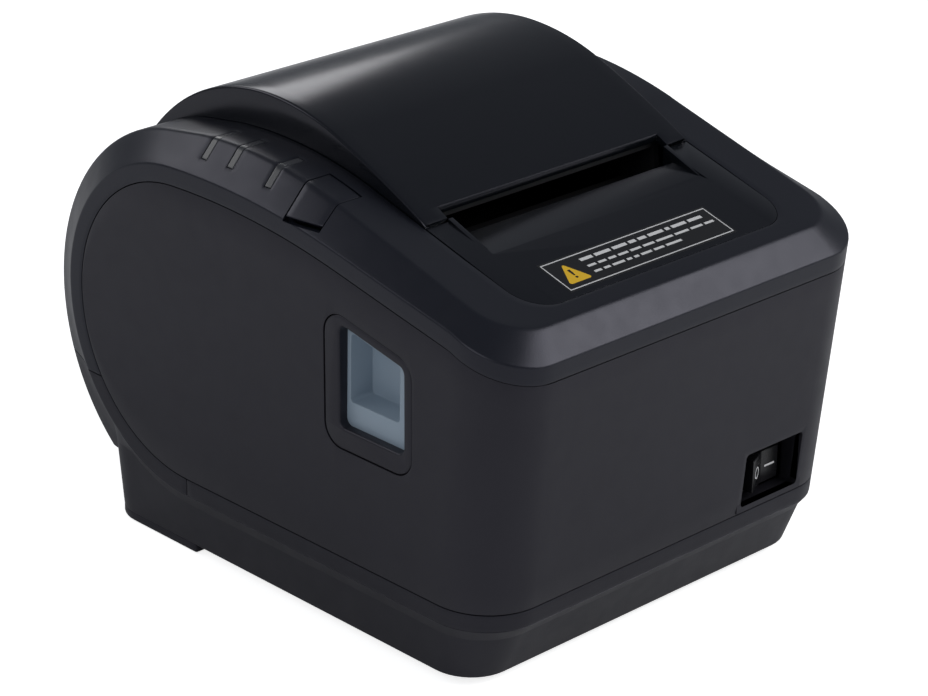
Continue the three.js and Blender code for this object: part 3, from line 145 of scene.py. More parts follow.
def wall_point(place, z):
    kind, t = place
    w, f = half_width(z), front_y(z)
    if kind == "front":
        return Vector((-t * (w - CORNER_R), f, z))
    if kind == "corner":
        c, s = math.cos(math.radians(t)), math.sin(math.radians(t))
        return Vector((-w + CORNER_R * (1 + c), f + CORNER_R * (1 + s), z))
    if kind == "lead":
        return Vector((-w, mix(f + CORNER_R, LEAD_Y, t), z))
    return Vector((-w, t, z))


def deck_crease(place):
    kind, t = place
    if kind == "front":
        x, y = -t * (DECK_HALF - DECK_CORNER_R), DECK_FRONT[0]
    elif kind == "corner":
        c, s = math.cos(math.radians(t)), math.sin(math.radians(t))
        x = -DECK_HALF + DECK_CORNER_R * (1 + c)
        y = DECK_FRONT[0] + DECK_CORNER_R * (1 + s)
    elif kind == "lead":
        x, y = -DECK_HALF, mix(DECK_FRONT[0] + DECK_CORNER_R, LEAD_Y, t)
    else:
        x, y = -DECK_HALF, t
    return Vector((x, y, deck_z(y)))


def steps(a, b, n):
    return [a + (b - a) * i / n for i in range(n + 1)]


def outline_places(side_end):
    places = [("front", t) for t in steps(0, 1, 12)]
    places += [("corner", a) for a in steps(270, 180, 14)[1:]]
    places += [("lead", t) for t in steps(0, 1, 8)[1:]]
    places += [("side", y) for y in steps(LEAD_Y, side_end, 36)[1:]]
    return places


# ---------------------------------------------------------------- mesh helpers
NEARLY_STRAIGHT = math.radians(88.5)  # half the angle between two stretches that need no arc


def fillet(a, b, c, r, n):
    """The corner b of the path a, b, c, rounded with radius r."""
    u, w = (a - b).normalized(), (c - b).normalized()
    half = u.angle(w) / 2
    if half > NEARLY_STRAIGHT:
        return [b + (u * (n / 2 - i) if i < n / 2 else w * (i - n / 2)) * 0.02 for i in range(n + 1)]
    reach = min(r / math.tan(half), 0.48 * (a - b).length, 0.48 * (c - b).length)
    radius = reach * math.tan(half)
    centre = b + (u + w).normalized() * (radius / math.sin(half))
    start, end = (b + u * reach - centre).normalized(), (b + w * reach - centre).normalized()
    return [centre + start.slerp(end, i / n) * radius for i in range(n + 1)]


def path(points, radii, n=5):
    """A path with rounded corners; radii holds one radius for each inner point."""
    out = [points[0]]
    for i in range(1, len(points) - 1):
        if radii[i - 1]:
            out += fillet(points[i - 1], points[i], points[i + 1], radii[i - 1], n)
        else:
            out.append(points[i])
    out.append(points[-1])
    return out


def divided(points, counts):
    """Each stretch of a path split into the given number of parts."""
    out = [points[0]]
    for i, n in enumerate(counts):
        out += [points[i].lerp(points[i + 1], k / n) for k in range(1, n + 1)]
    return out


def new_object(name, bm):
    bm.normal_update()
    mesh = bpy.data.meshes.new(name)
    bm.to_mesh(mesh)
    bm.free()
    obj = bpy.data.objects.new(name, mesh)
    bpy.context.scene.collection.objects.link(obj)
    return obj


def grid_into(bm, rows, flip=False):
    verts = [[bm.verts.new(p * MM) for p in row] for row in rows]
    for i in range(len(rows) - 1):
        for k in range(len(rows[i]) - 1):
            quad = [verts[i][k], verts[i][k + 1], verts[i + 1][k + 1], verts[i + 1][k]]
            if flip:
                quad.reverse()
            try:
                bm.faces.new(quad)
            except ValueError:
                pass


def mirrored(rows):
    return [[Vector((-p.x, p.y, p.z)) for p in row] for row in rows]


def weld(bm):
    bmesh.ops.remove_doubles(bm, verts=bm.verts, dist=0.004 * MM)
    flat = [f for f in bm.faces if f.calc_area() < 1e-14]
    bmesh.ops.delete(bm, geom=flat, context="FACES")


def sheet(name, rows):
    """A surface from rows of points, mirrored to the other side of the printer as well."""
    bm = bmesh.new()
    grid_into(bm, rows)
    grid_into(bm, mirrored(rows), True)
    weld(bm)
    return new_object(name, bm)


def modifier(obj, kind, **settings):
    m = obj.modifiers.new(kind.lower(), kind)
    for k, v in settings.items():
        setattr(m, k, v)
    return m


def bake(obj):
    """Applies every modifier."""
    dg = bpy.context.evaluated_depsgraph_get()
    mesh = bpy.data.meshes.new_from_object(obj.evaluated_get(dg))
    obj.modifiers.clear()
    old = obj.data
    obj.data = mesh
    bpy.data.meshes.remove(old)
    return obj


def thicken(obj, thickness):
    modifier(obj, "SOLIDIFY", thickness=thickness * MM, offset=-1, use_even_offset=False)
    return bake(obj)


def cut(obj, *tools):
    for tool in tools:
        modifier(obj, "BOOLEAN", operation="DIFFERENCE", object=tool, solver="EXACT")
        bake(obj)
    for tool in tools:
        bpy.data.objects.remove(tool)
    return obj


def unite(obj, *others):
    for other in others:
        modifier(obj, "BOOLEAN", operation="UNION", object=other, solver="EXACT")
        bake(obj)
        bpy.data.objects.remove(other)
    return obj


def keep_inside(obj, tool):
    modifier(obj, "BOOLEAN", operation="INTERSECT", object=tool, solver="EXACT")
    bake(obj)
    bpy.data.objects.remove(tool)
    return obj


def attach(obj, *others):
    """Joins the meshes of other objects into this one, as loose shells."""
    bm = bmesh.new()
    bm.from_mesh(obj.data)
    for other in others:
        bm.from_mesh(other.data)
        bpy.data.objects.remove(other)
    bm.to_mesh(obj.data)
    bm.free()
    return obj


AXES = {
    "x": lambda u, v, w: Vector((w, u, v)),
    "y": lambda u, v, w: Vector((u, w, v)),
    "z": lambda u, v, w: Vector((u, v, w)),
}


def prism(outline, low, high, axis, name="tool"):
    """A prism along an axis. The outline holds (y, z), (x, z) or (x, y) points."""
    bm = bmesh.new()
    place = AXES[axis]
    ends = [[bm.verts.new(place(u, v, w) * MM) for u, v in outline] for w in (low, high)]
    n = len(outline)
    for i in range(n):
        bm.faces.new([ends[0][i], ends[0][(i + 1) % n], ends[1][(i + 1) % n], ends[1][i]])
    bm.faces.new(ends[0][::-1])
    bm.faces.new(ends[1])
    bmesh.ops.recalc_face_normals(bm, faces=bm.faces)
    return new_object(name, bm)


def block(x, y, z, name="tool"):
    return prism([(x[0], y[0]), (x[1], y[0]), (x[1], y[1]), (x[0], y[1])], z[0], z[1], "z", name)


def rounded(corners, n=8):
    """An outline with rounded corners; each corner is (u, v, radius)."""
    out = []
    for i, (u, v, r) in enumerate(corners):
        a, c = corners[i - 1], corners[(i + 1) % len(corners)]
        if r:
            arc = fillet(Vector((a[0], a[1], 0)), Vector((u, v, 0)), Vector((c[0], c[1], 0)), r, n)
            out += [(p.x, p.y) for p in arc]
        else:
            out.append((u, v))
    return out


def cylinder(axis, a, b, r, low, high, n=48, name="tool"):
    outline = [(a + r * math.cos(t), b + r * math.sin(t)) for t in steps(0, 2 * math.pi, n)[:-1]]
    return prism(outline, low, high, axis, name)


def soften(obj, width=0.35, segments=2, angle=35, smooth=40):
    """Rounds the sharp edges and smooths the rest."""
    modifier(
        obj, "BEVEL", width=width * MM, segments=segments, limit_method="ANGLE",
        angle_limit=math.radians(angle), use_clamp_overlap=True, miter_outer="MITER_ARC",
    )
    bake(obj)
    shade(obj, smooth)
    return obj


def shade(obj, angle=40):
    mesh = obj.data
    mesh.polygons.foreach_set("use_smooth", [True] * len(mesh.polygons))
    mesh.set_sharp_from_angle(angle=math.radians(angle))
    mesh.update()


def dress(obj, material, body, slot, *nodes):
    obj.data.materials.clear()
    obj.data.materials.append(material)
    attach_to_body(obj, body)
    if nodes:
        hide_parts(*nodes)
    return obj


# ---------------------------------------------------------------- materials
def node_material(name):
    mat = bpy.data.materials.new(name)
    mat.use_nodes = True
    tree = mat.node_tree
    shader = tree.nodes["Principled BSDF"]
    coords = tree.nodes.new("ShaderNodeTexCoord")
    return mat, tree, shader, coords


def noise(tree, coords, scale, detail=3.0):
    n = tree.nodes.new("ShaderNodeTexNoise")
    n.inputs["Scale"].default_value = scale
    n.inputs["Detail"].default_value = detail
    n.inputs["Roughness"].default_value = 0.5
    tree.links.new(coords.outputs["Object"], n.inputs["Vector"])
    return n


def spread(tree, source, low, high, from_low=0.3, from_high=0.7):
    m = tree.nodes.new("ShaderNodeMapRange")
    m.inputs["From Min"].default_value = from_low
    m.inputs["From Max"].default_value = from_high
    m.inputs["To Min"].default_value = low
    m.inputs["To Max"].default_value = high
    tree.links.new(source, m.inputs["Value"])
    return m.outputs["Result"]


COOL = (0.86, 0.85, 1.0)  # the faint blue sheen of the dark plastic


def moulded(name, colour, rough, grain=0.0, grain_scale=2600.0, tone=0.08, metallic=0.0, tint=(1, 1, 1)):
    """Moulded or metal surface: a little tone and sheen variation and a fine grain."""
    mat, tree, shader, coords = node_material(name)
    broad = noise(tree, coords, 22.0)
    tones = tree.nodes.new("ShaderNodeMix")
    tones.data_type = "RGBA"
    tones.inputs["A"].default_value = [c * (1 - tone) for c in colour] + [1]
    tones.inputs["B"].default_value = [c * (1 + tone) for c in colour] + [1]
    tree.links.new(spread(tree, broad.outputs["Fac"], 0, 1), tones.inputs["Factor"])
    tree.links.new(tones.outputs["Result"], shader.inputs["Base Color"])
    cloud = noise(tree, coords, 160.0)
    patchy = spread(tree, cloud.outputs["Fac"], rough * 0.93, rough * 1.07)
    tree.links.new(patchy, shader.inputs["Roughness"])
    shader.inputs["Metallic"].default_value = metallic
    shader.inputs["Specular Tint"].default_value = [*tint, 1]
    if grain:
        fine = noise(tree, coords, grain_scale, 2.0)
        bump = tree.nodes.new("ShaderNodeBump")
        bump.inputs["Strength"].default_value = grain
        bump.inputs["Distance"].default_value = 0.00006
        tree.links.new(fine.outputs["Fac"], bump.inputs["Height"])
        tree.links.new(bump.outputs["Normal"], shader.inputs["Normal"])
    return mat


CASING = moulded("casing", (0.0110, 0.0105, 0.0135), 0.42, grain=0.35, tint=COOL)
SHELL = moulded("shell", (0.0060, 0.0072, 0.0110), 0.36, grain=0.3, tint=COOL)
GLOSS = moulded("gloss", (0.0030, 0.0040, 0.0055), 0.2, tone=0.05, tint=COOL)
BASE = moulded("base", (0.0090, 0.0088, 0.0115), 0.45, grain=0.35, tint=COOL)
LEVER = moulded("lever", (0.30, 0.375, 0.45), 0.38, grain=0.1, tone=0.03)
DARK = moulded("dark", (0.008, 0.008, 0.009), 0.45, grain=0.2)
PIPE = moulded("light_pipe", (0.035, 0.037, 0.042), 0.25, tone=0.04)
ROCKER_MAT = moulded("rocker", (0.006, 0.006, 0.007), 0.28, grain=0.1)
INK_WHITE = moulded("ink_white", (0.75, 0.75, 0.75), 0.45, tone=0.03)
INK_YELLOW = moulded("ink_yellow", (0.85, 0.52, 0.02), 0.45, tone=0.03)
LABEL = moulded("label_film", (0.006, 0.006, 0.007), 0.3, tone=0.03)
RUBBER = moulded("rubber", (0.012, 0.012, 0.012), 0.75, grain=0.5, grain_scale=1800)
STEEL = moulded("steel", (0.55, 0.56, 0.58), 0.28, grain=0.05, metallic=1.0)
ZINC = moulded("zinc", (0.42, 0.43, 0.45), 0.36, grain=0.08, metallic=1.0)
ALUMINIUM = moulded("aluminium", (0.62, 0.63, 0.65), 0.34, grain=0.08, metallic=1.0)
CERAMIC = moulded("ceramic", (0.62, 0.60, 0.54), 0.2)
BOARD = moulded("board", (0.012, 0.09, 0.032), 0.35, grain=0.1, grain_scale=900)
NYLON = moulded("nylon", (0.66, 0.64, 0.58), 0.42, grain=0.1)


# ---------------------------------------------------------------- upper band and deck
def inner_edge(place):
    """Where the deck meets the openings for the lid and the cutter cover, or the middle line."""
    kind, t = place
    r = COVER["r"] + GAP
    half, front = COVER["half"] + GAP, COVER["front"] - GAP
    if kind == "front":
        x, y = -t * (half - r), front
    elif kind == "corner":
        c, s = math.cos(math.radians(t)), math.sin(math.radians(t))
        x, y = -half + r * (1 + c), front + r * (1 + s)
    elif kind == "lead":
        x, y = mix(-half, -OPENING_HALF, t), mix(front + r, LEAD_Y, t)
    else:
        x, y = -OPENING_HALF, t
    return Vector((x, y, deck_z(y)))


DECK_FILLET = 2.6
RIM_FILLET = 1.1
CREASE_END = 180 - math.degrees(math.acos((DRUM[1] - BAND_Z) / DRUM[2]))


def band_row(place, inner):
    """One section across the upper band: deck, chamfer, rim and down to the seam."""
    rim_y = wall_point(place, FRONT_SEAM[1] + RIM).y
    rim = wall_point(place, seam_z(rim_y) + RIM)
    foot = wall_point(place, seam_z(rim_y) + GAP)
    crease = deck_crease(place)
    line = path([inner, crease, rim, foot], [DECK_FILLET, RIM_FILLET])
    return spaced(line)


def spaced(line):
    """Adds points to the three long stretches of a section with two rounded corners."""
    counts = [6] + [1] * 5 + [6] + [1] * 5 + [3]
    return divided(line, counts)


def round_row(t, inner_x):
    """A section behind the drum's start; t runs to the table side of the drum."""
    a = mix(DRUM_START, CREASE_END, t)
    b = mix(ROUND_START, 180.0, t)
    cy, cz = circle_point(DRUM, a)
    ry, rz = circle_point((*PANEL_ROUND[:2], PANEL_ROUND[2] + RIM), b)
    fy, fz = circle_point((*PANEL_ROUND[:2], PANEL_ROUND[2] + GAP), b)
    crease = Vector((-DECK_HALF, cy, cz))
    rim = Vector((-half_width(rz), ry, rz))
    foot = Vector((-half_width(fz), fy, fz))
    inner = Vector((inner_x, cy, cz))
    return spaced(path([inner, crease, rim, foot], [DECK_FILLET, RIM_FILLET]))


TAIL_T = (LID_TAIL + 0.6 - DRUM_START) / (CREASE_END - DRUM_START)


def upper_surface():
    bm = bmesh.new()
    rows = [band_row(p, inner_edge(p)) for p in outline_places(ROUND_START_Y - 4)]
    ahead = steps(0, TAIL_T, 18)
    rows += [round_row(t, -OPENING_HALF) for t in ahead]
    behind = steps(TAIL_T, 1, 34)
    tail = [round_row(t, -OPENING_HALF) for t in behind]
    middle = []
    for row in tail:
        p = row[0]
        middle.append([Vector((x, p.y, p.z)) for x in steps(0, -OPENING_HALF, 8)])
    for part in (rows, tail, middle):
        grid_into(bm, part)
        grid_into(bm, mirrored(part), True)
    weld(bm)
    bmesh.ops.recalc_face_normals(bm, faces=bm.faces)
    return bm


def sliced(bm, z, keep_above):
    plane_co, plane_no = Vector((0, 0, z * MM)), Vector((0, 0, 1))
    bmesh.ops.bisect_plane(
        bm, geom=bm.verts[:] + bm.edges[:] + bm.faces[:], plane_co=plane_co, plane_no=plane_no,
        clear_outer=not keep_above, clear_inner=keep_above,
    )


def flange(side):
    """The wall that hangs down beside the lid."""
    line = [(y, deck_z(y) - 0.4) for y in steps(-76, 80, 40)]
    outline = line + [(y, z - 9) for y, z in reversed(line)]
    near, far = sorted((side * (OPENING_HALF + 0.1), side * (OPENING_HALF + 2.1)))
    return prism(outline, near, far, "x", "flange")


def overlapping(bm, low, high):
    """The faces of a mesh whose boxes reach into the box between two corners."""
    found = []
    for face in bm.faces:
        spans = list(zip(*(v.co for v in face.verts)))
        if all(min(spans[k]) <= high[k] and max(spans[k]) >= low[k] for k in range(3)):
            found.append(face)
    return found


def punch(bm, x, y, z):
    """Cuts a box-shaped hole in an open surface; x, y and z hold the box's limits in mm."""
    low, high = Vector((x[0], y[0], z[0])) * MM, Vector((x[1], y[1], z[1])) * MM
    for k in range(3):
        normal = Vector([1.0 if i == k else 0.0 for i in range(3)])
        for corner in (low, high):
            faces = overlapping(bm, low, high)
            parts = {e for f in faces for e in f.edges} | {v for f in faces for v in f.verts}
            geom = faces + list(parts)
            bmesh.ops.bisect_plane(bm, geom=geom, plane_co=corner, plane_no=normal, dist=1e-7)
    inside = []
    for face in bm.faces:
        centre = face.calc_center_median()
        if all(low[k] < centre[k] < high[k] for k in range(3)):
            inside.append(face)
    bmesh.ops.delete(bm, geom=inside, context="FACES")


def button_low():
    return deck_z(BUTTON["y0"]) - BUTTON["drop"]


def pipe_low(y):
    return min(deck_z(y - PIPE_HALF), deck_z(y + PIPE_HALF)) - 5.0


FAR_LEFT, FAR_UP = -80, 150  # beyond the printer's side and top
PIPE_GAP = 0.12
BUTTON_GAP = 0.2
HINGE_ROOM = 1.5  # room for the lid's barrel and tail to turn
PRESS_ROOM = 1.4  # room under the feed button


def top_shell():
    bm = upper_surface()
    sliced(bm, REAR_SPLIT_Z + GAP, True)
    for y in PIPE_YS.values():
        edge = PIPE_HALF + PIPE_GAP
        low = pipe_low(y) - PIPE_GAP
        punch(bm, (FAR_LEFT, PIPE_INNER + PIPE_GAP), (y - edge, y + edge), (low, FAR_UP))
    y0, y1 = BUTTON["y0"] - BUTTON_GAP, BUTTON["y1"] + BUTTON_GAP
    punch(bm, (FAR_LEFT, BUTTON["inner"] + BUTTON_GAP), (y0, y1), (button_low() - 0.5, FAR_UP))
    obj = thicken(new_object("top_shell_skin", bm), WALL)
    soften(obj, 0.3)
    button_room = block((FAR_LEFT, BUTTON["inner"] + 0.45), (y0 - 0.1, y1 + 0.1),
                        (button_low() - PRESS_ROOM, FAR_UP))
    hinge_room = cylinder("x", *HINGE, HINGE_R + HINGE_ROOM, -OPENING_HALF, OPENING_HALF, 96)
    cut(obj, button_room, hinge_room)
    attach(obj, flange(-1), flange(1))
    shade(obj)
    return dress(obj, SHELL, "printer_body", "shell", "top_shell")


top_shell()


# ---------------------------------------------------------------- casing panel
def panel_rows():
    rows = []
    for place in outline_places(ROUND_START_Y):
        y = wall_point(place, FRONT_SEAM[1]).y
        top = seam_z(y) - GAP
        low = SEAM_Z + GAP
        if y > PANEL_ROUND[0]:
            low = 2 * PANEL_ROUND[1] - on_circle((*PANEL_ROUND[:2], PANEL_ROUND[2] - GAP), y)
        rows.append([wall_point(place, z) for z in steps(low, top, 10)])
    small = (*PANEL_ROUND[:2], PANEL_ROUND[2] - GAP)
    for b in steps(ROUND_START, 89.5, 40)[1:]:
        y, top = circle_point(small, b)
        low = 2 * PANEL_ROUND[1] - top
        rows.append([wall_point(("side", y), z) for z in steps(low, top, 10)])
    return rows


BEZEL = dict(rear=-27.5, front=-61.6, bottom=58.8, top=99.7, r=6.5)
LEVER_HOLE = dict(rear=-33.4, front=-58.4, bottom=65.2, top=95.6, r=2.2)
SWITCH = dict(x0=28.8, x1=53.2, z0=27.6, z1=44.5)
HOOD_WALL = 1.6  # walls round the switch window


def sloped_frame(f, grow):
    fall = SEAM_SLOPE * (f["rear"] - f["front"])
    r = f["r"] + grow
    return rounded([
        (f["front"] - grow, f["bottom"] - grow, r),
        (f["rear"] + grow, f["bottom"] - grow, r),
        (f["rear"] + grow, f["top"] + grow, r),
        (f["front"] - grow, f["top"] - fall + grow, r),
    ], 10)


def body_shell():
    obj = sheet("body_shell_skin", panel_rows())
    bm = bmesh.new()
    bm.from_mesh(obj.data)
    bmesh.ops.recalc_face_normals(bm, faces=bm.faces)
    bm.to_mesh(obj.data)
    bm.free()
    thicken(obj, WALL)
    window = rounded([
        (SWITCH["x0"], SWITCH["z0"], 1.2), (SWITCH["x1"], SWITCH["z0"], 1.2),
        (SWITCH["x1"], SWITCH["z1"], 1.2), (SWITCH["x0"], SWITCH["z1"], 1.2),
    ], 4)
    cut(obj, prism(sloped_frame(BEZEL, 0.18), -90, -60, "x"), prism(window, -100, -80, "y"))
    soften(obj)
    hood = block(
        (SWITCH["x0"] - HOOD_WALL, SWITCH["x1"] + HOOD_WALL),
        (front_y(36) + 0.6, -84),
        (SWITCH["z0"] - HOOD_WALL, SWITCH["z1"] + HOOD_WALL),
    )
    attach(obj, cut(hood, prism(window, -100, -80, "y")))
    shade(obj)
    return dress(obj, CASING, "printer_body", "casing", "body_shell")


body_shell()


def lever_bezel():
    slab = prism(sloped_frame(BEZEL, 0), -80, -60, "x", "lever_bezel_frame")
    outer = [(-half_width(40), 40), (-half_width(120), 120), (-68, 120), (-68, 40)]
    skin = prism(outer, -70, -20, "y")
    keep_inside(slab, skin)
    cut(slab, prism(sloped_frame(LEVER_HOLE, 0), -90, -50, "x"))
    soften(slab, 0.7, segments=3)
    return dress(slab, CASING, "printer_body", "casing", "lever_bezel")


lever_bezel()


# ---------------------------------------------------------------- base tray
SKIRT = [
    # height above the rim's lower edge (None: level at SKIRT_LOW), then the outline as in ring()
    (0.0, 0.0, 0.0, 75.2, CORNER_R, 14.0),
    (-3.6, 1.7, 3.0, 74.8, 16.0, 13.0),
    (None, 3.5, 8.8, 73.5, 13.0, 12.0),
]
SKIRT_LOW = 2.8
UNDERSIDE_Z = 2.0
UNDERSIDE = (6.0, 11.3, 71.0, 12.0, 11.0)
SKIRT_ROUNDS = [0, 1.6, 0.9]  # none at the band, then the ridge and the lower edge
BASE_WALL = 2.2
RAIL = dict(x=56.0, y=32.0, thick=3.8, low=0.3, high=3.2)  # from here outwards and to the rear
CLIMB_END = 60.0  # the ridge climbs with the rim as far back as this
WALL_TOP = 33.0  # the skirt's wall ends inside the round back here


def under_rim(y):
    """Height of the rim's lower edge: level along the side, then round the back."""
    if y <= PANEL_ROUND[0]:
        return BAND_Z
    rim = 2 * PANEL_ROUND[1] - on_circle((*PANEL_ROUND[:2], PANEL_ROUND[2] + RIM), min(y, 68.0))
    return min(rim, WALL_TOP)


def ring(side_in, front_in, rear, front_r, rear_r, z=0.0):
    """The skirt's outline from side inset, front inset, rear y, and front and rear corner radius."""
    long_side = 60
    half = half_width(BAND_Z) - side_in
    front = front_y(BAND_Z) + front_in
    corners = rounded([
        (-half, front, front_r), (half, front, front_r), (half, rear, rear_r), (-half, rear, rear_r),
    ], 10)
    outline = []
    for k, (x, y) in enumerate(corners):
        outline.append((x, y))
        after = corners[(k + 1) % len(corners)]
        if abs(after[1] - y) > long_side:
            outline += [(x, s) for s in steps(y, after[1], 45)[1:-1]]
    return [Vector((x, y, z)) for x, y in outline]


def skirt():
    """The skirt under the band, with a rounded ridge and a rounded lower edge."""
    levels = []
    for drop, *plan in SKIRT:
        points = ring(*plan)
        for p in points:
            if drop is None:
                p.z = SKIRT_LOW
            else:
                p.z = under_rim(min(p.y, CLIMB_END) if drop else p.y) + drop
            if drop == 0.0:
                p.x *= half_width(p.z) / half_width(BAND_Z)
        levels.append(points)
    underside = ring(*UNDERSIDE, z=UNDERSIDE_Z)
    columns = []
    for k in range(len(levels[0])):
        start = levels[0][k]
        start_in = start.lerp(levels[1][k], 0.02)
        points = [start, start_in, levels[1][k], levels[2][k], underside[k]]
        columns.append(path(points, SKIRT_ROUNDS, 4))
    columns.append(columns[0])
    bm = bmesh.new()
    grid_into(bm, columns)
    weld(bm)
    bottom = [v for v in bm.verts if abs(v.co.z - UNDERSIDE_Z * MM) < 1e-6]
    ordered = [min(bottom, key=lambda v, p=p: (v.co - p[-1] * MM).length) for p in columns[:-1]]
    bm.faces.new(ordered)
    bmesh.ops.recalc_face_normals(bm, faces=bm.faces)
    return new_object("base_tray_skin", bm)


def lower_band_rows():
    rows = []
    for place in outline_places(PANEL_ROUND[0]):
        rows.append([wall_point(place, z) for z in steps(BAND_Z, SEAM_Z - GAP, 4)])
    return rows


def foot_rail(side):
    """The raised strip under each side of the skirt, running round the rear corner."""
    side_in, front_in, rear, front_r, rear_r = SKIRT[2][1:]
    t = RAIL["thick"]
    outer = ring(side_in, front_in, rear, front_r, rear_r)
    inner = ring(side_in + t, front_in + t, rear - t, front_r - t, rear_r - t)
    strips = []
    for line in (outer, inner):
        kept = [(p.x, p.y) for p in line if side * p.x > RAIL["x"] and p.y >= RAIL["y"]]
        strips.append(sorted(kept, key=lambda q: math.atan2(q[1], side * q[0])))
    rail = prism(strips[0] + strips[1][::-1], RAIL["low"], RAIL["high"], "z", "foot_rail")
    return soften(rail, 0.5)


def base_tray():
    obj = skirt()
    band = sheet("band", lower_band_rows())
    bm = upper_surface()
    sliced(bm, REAR_SPLIT_Z - GAP, False)
    rear = new_object("rear", bm)
    for wall in (obj, band, rear):
        thicken(wall, BASE_WALL)
        soften(wall)
    attach(obj, band, rear)
    for side in (-1, 1):
        attach(obj, foot_rail(side))
    shade(obj)
    return dress(obj, BASE, "printer_body", "casing", "base_tray")


base_tray()


# ---------------------------------------------------------------- lid
CROWN_START = -20.5  # in degrees from the top of the crown's circle
BACK_END = 51.9  # in degrees from the top of the back's circle


def lid_profile():
    """Side view of the lid's top, from its front edge over the crown to its tail."""
    start = -math.degrees(math.asin((LID_SLOPE[0] - LID_FRONT_Y) / LID_SLOPE[2]))
    back_end = circle_point(LID_BACK, BACK_END)[0]
    drum_start = math.degrees(math.asin((back_end - DRUM[0]) / DRUM[2]))
    pts = [circle_point(LID_SLOPE, a) for a in steps(start, CROWN_START, 16)]
    pts += [circle_point(LID_CROWN, a) for a in steps(CROWN_START, 0, 12)[1:]]
    pts += [circle_point(LID_BACK, a) for a in steps(0, BACK_END, 24)[1:]]
    pts += [circle_point(DRUM, a) for a in steps(drum_start + 1.5, LID_TAIL, 8)]
    return pts


LID_EDGE_R = 0.8


def lid():
    rows = []
    for y, z in lid_profile():
        low = min(deck_z(y) - 4.0, z - 1.5)
        points = [
            Vector((-LID_HALF, y, low)), Vector((-LID_HALF, y, z)),
            Vector((LID_HALF, y, z)), Vector((LID_HALF, y, low)),
        ]
        line = path(points, [LID_EDGE_R, LID_EDGE_R], 5)
        counts = [4] + [1] * 5 + [24] + [1] * 5 + [4]
        rows.append(divided(line, counts))
    bm = bmesh.new()
    grid_into(bm, rows)
    weld(bm)
    bmesh.ops.recalc_face_normals(bm, faces=bm.faces)
    obj = new_object("lid_skin", bm)
    modifier(obj, "SOLIDIFY", thickness=LID_WALL * MM, offset=-1)
    bake(obj)
    cut(obj, block((-SLOT_HALF, SLOT_HALF), (-60, SLOT_LID_Y), (80, 160)))
    soften(obj, 0.3)
    barrel = cylinder("x", *HINGE, HINGE_R, -LID_HALF, LID_HALF, 64)
    cut(barrel, cylinder("x", *HINGE, 1.6, -60, 60, 32))
    soften(barrel, 0.2)
    attach(obj, barrel)
    shade(obj)
    return dress(obj, GLOSS, "lid_body", "gloss", "lid")


lid()


# ---------------------------------------------------------------- cutter cover
RIB = dict(x=42.7, half=0.8, rise=0.9, length=13.4)
RAMP = dict(back=-47.0, front=-60.0, drop=2.1)


def on_cover(y, lift):
    return y, DECK_FRONT[1] + DECK_SLOPE * (y - DECK_FRONT[0]) + lift


def cover_outline(grow):
    h, f, r = COVER["half"] + grow, COVER["front"] - grow, COVER["r"] + grow
    return rounded([(-h, f, r), (h, f, r), (h, COVER["rear"], 0), (-h, COVER["rear"], 0)], 12)


def cutter_cover():
    back, front, drop, rear = RAMP["back"], RAMP["front"], RAMP["drop"], COVER["rear"]
    far = -100  # in front of the cover; cover_outline() cuts it to shape
    lip, lip_thick = drop + 3.4, 1.2
    middle = [
        on_cover(far, 0), on_cover(front, 0), on_cover(back, -drop), on_cover(back, -lip),
        on_cover(back - lip_thick, -lip), on_cover(back - lip_thick, -drop - WALL),
        on_cover(front, -WALL), on_cover(far, -WALL),
    ]
    flat = [on_cover(far, 0), on_cover(rear, 0), on_cover(rear, -WALL), on_cover(far, -WALL)]
    rib_front = rear - RIB["length"]
    rib = [
        on_cover(rear, RIB["rise"]), on_cover(rear, -WALL - 2),
        on_cover(rib_front, -WALL - 2), on_cover(rib_front, -0.3),
    ]
    obj = prism(middle, -RIB["x"], RIB["x"], "x", "cutter_cover_skin")
    unite(obj, prism(flat, -70, -RIB["x"] + 0.02, "x"), prism(flat, RIB["x"] - 0.02, 70, "x"))
    keep_inside(obj, prism(cover_outline(0), 60, 160, "z"))
    for side in (-1, 1):
        unite(obj, prism(rib, side * RIB["x"] - RIB["half"], side * RIB["x"] + RIB["half"], "x"))
    soften(obj, segments=3, angle=25, smooth=25)
    return dress(obj, GLOSS, "cutter_door", "gloss", "cutter_cover")


cutter_cover()


# ---------------------------------------------------------------- label
LABEL_BOX = dict(x0=-35.8, x1=30.4, y0=-82.1, y1=-69.0)
FILM_THICK = 0.06
FILM, INK, MARK = 0.03, 0.06, 0.09  # height of each layer's top above the cover


def flat_piece(name, outline, lift):
    """A thin flat piece lying on the cover's top, from an outline of (x, y) points."""
    bm = bmesh.new()
    top = [bm.verts.new(Vector((x, *on_cover(y, lift))) * MM) for x, y in outline]
    low = [bm.verts.new(Vector((x, *on_cover(y, lift - FILM_THICK))) * MM) for x, y in outline]
    n = len(outline)
    bm.faces.new(top)
    bm.faces.new(low[::-1])
    for i in range(n):
        bm.faces.new([low[i], low[(i + 1) % n], top[(i + 1) % n], top[i]])
    bmesh.ops.recalc_face_normals(bm, faces=bm.faces)
    obj = new_object(name, bm)
    shade(obj, 30)
    return obj


def frame_strips(x0, x1, y0, y1, w):
    return [
        [(x0, y0), (x1, y0), (x1, y0 + w), (x0, y0 + w)],
        [(x0, y1 - w), (x1, y1 - w), (x1, y1), (x0, y1)],
        [(x0, y0 + w), (x0 + w, y0 + w), (x0 + w, y1 - w), (x0, y1 - w)],
        [(x1 - w, y0 + w), (x1, y0 + w), (x1, y1 - w), (x1 - w, y1 - w)],
    ]


